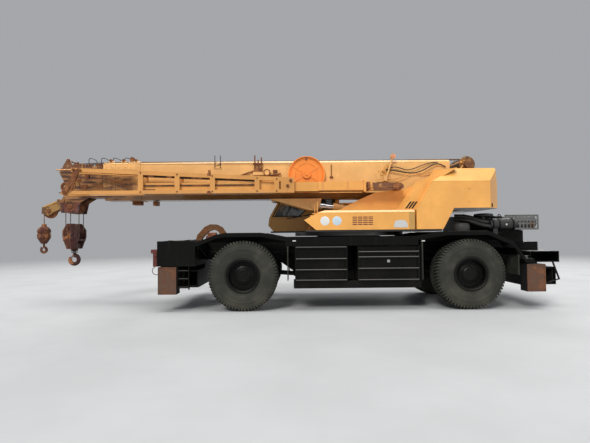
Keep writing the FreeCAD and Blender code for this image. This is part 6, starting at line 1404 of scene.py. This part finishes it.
# Jib: a tapering frame of box chords, with a tube jib nested in it, pinned along the boom's left side. Pins and
# ends are bare and rusty, and the chords' edges catch the light.
jib_amber = gloss_paint("jib_amber", (0.58, 0.265, 0.066), chip=0.25, mottle=0.14)
dress(jib_amber, "jib_frame")
dress(gloss_paint("jib_tube_paint", (0.68, 0.320, 0.074), chip=0.25, mottle=0.9, rusty_from=(-0.30, -0.55)), "jib_tube")


def jib_top(x):
    """The top chord's upper face at x."""
    return 2.885 + (x - 1.30) / 5.00 * 0.265


pins = Work()
for x in (4.745, 3.925, 3.135, 2.135, 1.695):
    for z in (2.592, jib_top(x) - 0.045):
        pins.bar((x, 0.919, z), (x, 0.936, z), 0.016, sides=12)
for x, z in ((6.24, 3.10), (1.45, 2.70), (1.38, 2.82)):
    pins.bar((x, 0.915, z), (x, 0.955, z), 0.034, sides=20)
    pins.bar((x, 0.955, z), (x, 0.968, z), 0.020, sides=6)
pins.bar((3.21, 0.875, 2.995), (3.21, 0.875, 3.075), 0.030, sides=14)
pins.block(3.17, 3.25, 0.84, 0.925, 2.940, 3.000)
pins.bar((3.21, 0.925, 2.56), (3.21, 0.940, 2.56), 0.045, sides=20)
for x in (4.52, 4.10, 3.55, 3.42):
    pins.block(x - 0.055, x + 0.055, 0.845, 0.915, jib_top(x) - 0.125, jib_top(x) - 0.089)
pins.block(4.44, 4.70, 0.845, 0.910, 2.618, 2.655)
pins.made("jib_pins", "boom_base", rust_metal, "rust_paint", edge=0.002)
# Painted shade: dark brown strips in the jib's bays, under the top chord and along the bottom, stand in for the
# shadowed inside of the frame.
rails = Work()
for x0, x1 in ((4.735, 3.935), (3.915, 3.145), (3.125, 2.145)):
    rails.drawn("y", [(x0, jib_top(x0) - 0.091), (x1, jib_top(x1) - 0.091), (x1, jib_top(x1) - 0.128), (x0, jib_top(x0) - 0.136)], 0.852, 0.862)
    rails.block(x1, x0, 0.852, 0.862, 2.722, 2.752)
rails.made("jib_bay_shade_strips", "boom_base", rusted("jib_shade_brown", (0.045, 0.017, 0.010), (0.12, 0.042, 0.018), 0.45), "rust_paint")
ends = Work()
ends.turned((6.40, 0.9475, 2.717), "y", ((-0.024, 0.0585), (-0.024, 0.1065), (0.024, 0.1065), (0.024, 0.0585)), 40)
ends.turned((6.40, 0.9475, 2.717), "y", ((0.020, 0.074), (0.032, 0.074), (0.032, 0.092), (0.020, 0.092)), 36)
ends.drawn("y", [(6.0575, 3.1015), (6.1615, 3.1225), (6.4925, 2.6005), (6.4005, 2.5475)], 0.9395, 0.9665)
for x, z in ((6.11, 3.088), (6.43, 2.588)):
    ends.bar((x, 0.922, z), (x, 0.970, z), 0.0435, sides=24)
    ends.bar((x, 0.970, z), (x, 0.984, z), 0.022, sides=6)
ends.drawn("y", [(6.30, 3.06), (6.40, 3.06), (6.56, 2.64), (6.47, 2.62)], 0.56, 0.60)
ends.bar((6.50, 0.885, 2.59), (6.58, 0.885, 2.592), 0.012, sides=10)
ends.made("jib_end_fittings", "boom_base", rust_metal, "rust_paint", edge=0.003)
tie = Work()
tie.bar((4.62, 0.905, jib_top(4.62) - 0.10), (5.62, 0.905, 3.02), 0.010, sides=8)
tie.bar((5.10, 0.60, 2.72), (5.65, 0.60, 2.96), 0.012, sides=8)
tie.block(-0.40, -0.34, 0.545, 0.895, 2.60, 2.78)
tie.bar((-1.02, 0.60, 2.685), (-1.02, 0.84, 2.685), 0.088, sides=36)
tie.bar((-0.38, 0.90, 2.64), (-1.05, 0.895, 2.655), 0.012, sides=8)
tie.made("jib_ties", "boom_base", rust_metal, "rust_paint")
lashing = Work()
for x in (0.66, 0.10):
    lashing.block(x - 0.022, x + 0.022, 0.560, 0.880, 2.596, 2.602)
    lashing.block(x - 0.022, x + 0.022, 0.560, 0.880, 2.778, 2.784)
    lashing.block(x - 0.022, x + 0.022, 0.871, 0.878, 2.598, 2.782)
lashing.made("jib_end_straps", "boom_base", jib_amber, "yellow_paint")


# Head: rollers, hose loops and brackets on top of the boom's nose, and keeper plates on its sheave pins. All
# are rust brown with a little amber left.
top = Work()
for x in (6.02, 6.36, 6.56):
    for way in (1, -1):
        top.bar((x, way * 0.220, 3.312), (x, way * 0.2345, 3.312), 0.020, sides=6)
    top.turned((x, 0.0, 3.312), "y", ((-0.200, 0.043), (-0.200, 0.0455), (0.200, 0.0455), (0.200, 0.043)), 24)
for way in (1, -1):
    top.bar((6.71, way * 0.235, 3.430), (6.71, way * 0.252, 3.430), 0.030, sides=6)
    top.bar((6.62, way * 0.235, 3.270), (6.62, way * 0.245, 3.270), 0.014, sides=6)
    top.bar((6.80, way * 0.235, 3.270), (6.80, way * 0.245, 3.270), 0.014, sides=6)
    for x in (5.96, 6.19, 6.46):
        top.block(x - 0.045, x + 0.045, way * 0.150, way * 0.222, 3.270, 3.345)
top.made("head_rollers", "boom_head", rust_metal, "rust_paint", edge=0.002)
for body, x, y in (("boom_head", 6.21, 0.19), ("boom_head", 5.90, 0.21), ("boom_section_3", 5.62, 0.20), ("boom_section_2", 5.34, 0.21)):
    low = 3.27 if body == "boom_head" else 3.36
    hose("head_hose_%d" % round(100 * x), body, rubber_black, 0.0085, [
        (x + 0.02, y, low), (x + 0.03, y, 3.42), (x + 0.02, y, 3.488), (x - 0.04, y, 3.484), (x - 0.14, y + 0.01, 3.445), (x - 0.18, y + 0.01, 3.40), (x - 0.19, y + 0.01, low),
    ])
for body, x in (("boom_base", 5.07), ("boom_section_2", 5.366), ("boom_section_3", 5.662)):
    lump = Work()
    for y in (-0.30, 0.22):
        lump.bar((x, y - 0.012, 3.41), (x, y + 0.092, 3.41), 0.0335, sides=20)
        lump.bar((x, y - 0.022, 3.41), (x, y + 0.102, 3.41), 0.014, sides=6)
    if body == "boom_base":
        lump.turned((5.165, 0.26, 3.440), "y", ((-0.030, 0.0), (-0.030, 0.055), (0.0, 0.046), (0.030, 0.055), (0.030, 0.0)), 32)
        for y in (0.215, 0.293):
            lump.drawn("y", [(5.115, 3.372), (5.215, 3.372), (5.185, 3.460), (5.145, 3.460)], y, y + 0.012)
    lump.made("collar_rollers_" + body, body, rust_metal, "rust_paint", edge=0.001)
keepers = Work()
for x, z in ((6.665, 2.33), (6.64, 2.83)):
    for way in (1, -1):
        keepers.turned((x, way * 0.236, z), "y", [(way * a, r) for a, r in ((-0.002, 0.0), (0.018, 0.0), (0.018, 0.060), (-0.002, 0.066))], 28)
        keepers.bolts((x, way * 0.254, z), "y", 0.040, 4, 0.009, way * 0.009)
        keepers.turned((x, way * 0.236, z), "y", [(way * a, r) for a, r in ((-0.002, 0.100), (0.010, 0.104), (0.010, 0.114), (-0.002, 0.118))], 36)
for way in (1, -1):
    keepers.turned((7.25, way * 0.084, 2.23), "y", [(way * a, r) for a, r in ((-0.002, 0.0), (0.016, 0.0), (0.016, 0.045), (-0.002, 0.05))], 24)
    for x, z in ((6.25, 3.05), (6.45, 2.95), (6.45, 2.66), (6.30, 2.80)):
        keepers.block(x - 0.06, x + 0.06, way * 0.234, way * 0.242, z - 0.05, z + 0.05)
        keepers.bar((x, way * 0.240, z), (x, way * 0.254, z), 0.016, sides=6)
    keepers.bar((6.30, way * 0.245, 2.62), (6.62, way * 0.245, 3.16), 0.016, sides=10)
keepers.made("pin_keepers_head", "boom_head", rust_metal, "rust_paint", edge=0.001)
nose_side = Work()
for way in (1, -1):
    nose_side.drawn("y", [(6.93, 2.50), (7.10, 2.455), (7.36, 2.345), (7.36, 2.325), (7.10, 2.432), (6.93, 2.476)], way * 0.084, way * 0.094)
    nose_side.bolts((7.25, way * 0.084, 2.23), "y", 0.075, 6, 0.009, way * 0.008)
nose_side.made("nose_edges", "boom_head", amber_used, "yellow_paint")


# Hooks: the main block's cheek plates with its pin nuts and rope guards, its forged hook with a spring latch;
# the single line's ball weight and its hook. All bare, deep rust brown with paint left in places; the parts
# at x under 6.66 are painted near black, as painted shade.
hook_rust_and_shade = rusted("hook_rust_and_shade", (0.29, 0.105, 0.034), (0.050, 0.017, 0.011), 0.60)
surface = hook_rust_and_shade.node_tree.nodes["Principled BSDF"]
tone = Shade(hook_rust_and_shade.node_tree, surface.inputs["Base Color"].links[0].from_socket)
# Painted shade: everything at x under 6.66 is blended to a near black maroon, as if turned from the light.
painted_shade_x = tone.add("TexCoord", output="Object").part(0)
feed(surface, Base_Color=(1 - painted_shade_x.over(6.655, 6.675)).blend(tone, (0.040, 0.012, 0.009, 1)))
dress(hook_rust_and_shade, "hook_block", "main_hook", "aux_hook")
dress(rope_brown, "rope_falls")
block = Work()
BLOCK = (6.665, 1.690)
for way in (1, -1):
    block.turned((BLOCK[0], way * 0.190, BLOCK[1]), "y", [(way * a, r) for a, r in ((-0.004, 0.148), (0.012, 0.150), (0.012, 0.172), (-0.004, 0.176))], 48)
    block.turned((BLOCK[0], way * 0.190, BLOCK[1]), "y", [(way * a, r) for a, r in ((-0.002, 0.0), (0.022, 0.0), (0.022, 0.062), (-0.002, 0.070))], 28)
    block.bolts((BLOCK[0], way * 0.190, BLOCK[1]), "y", 0.112, 6, 0.016, way * 0.014)
    for x, z in ((BLOCK[0] - 0.06, 1.86), (BLOCK[0] + 0.06, 1.86), (BLOCK[0] - 0.11, 1.47), (BLOCK[0] + 0.11, 1.47), (BLOCK[0] - 0.05, 1.38), (BLOCK[0] + 0.05, 1.38)):
        block.bar((x, way * 0.188, z), (x, way * 0.206, z), 0.019, sides=6)
for x, z in ((BLOCK[0] - 0.175, 1.52), (BLOCK[0] + 0.175, 1.52)):
    block.bar((x, -0.185, z), (x, 0.185, z), 0.018, sides=14)
block.made("block_bolts", "hook_block", hook_rust_and_shade, "rust_paint", edge=0.002)
latch = Work()
latch.drawn("y", [(6.690, 1.150), (6.705, 1.160), (6.775, 1.055), (6.762, 1.046)], -0.020, 0.020)
latch.bar((6.690, -0.032, 1.155), (6.690, 0.032, 1.155), 0.012, sides=12)
latch.turned((6.665, 0.0, 1.215), "z", ((0.0, 0.060), (0.0, 0.074), (0.030, 0.070), (0.030, 0.052)), 28)
latch.made("hook_latch", "main_hook", steel_grey, "steel")
latch = Work()
latch.drawn("y", [(7.425, 1.345), (7.436, 1.352), (7.480, 1.296), (7.470, 1.288)], -0.012, 0.012)
latch.made("aux_hook_latch", "aux_hook", steel_grey, "steel")
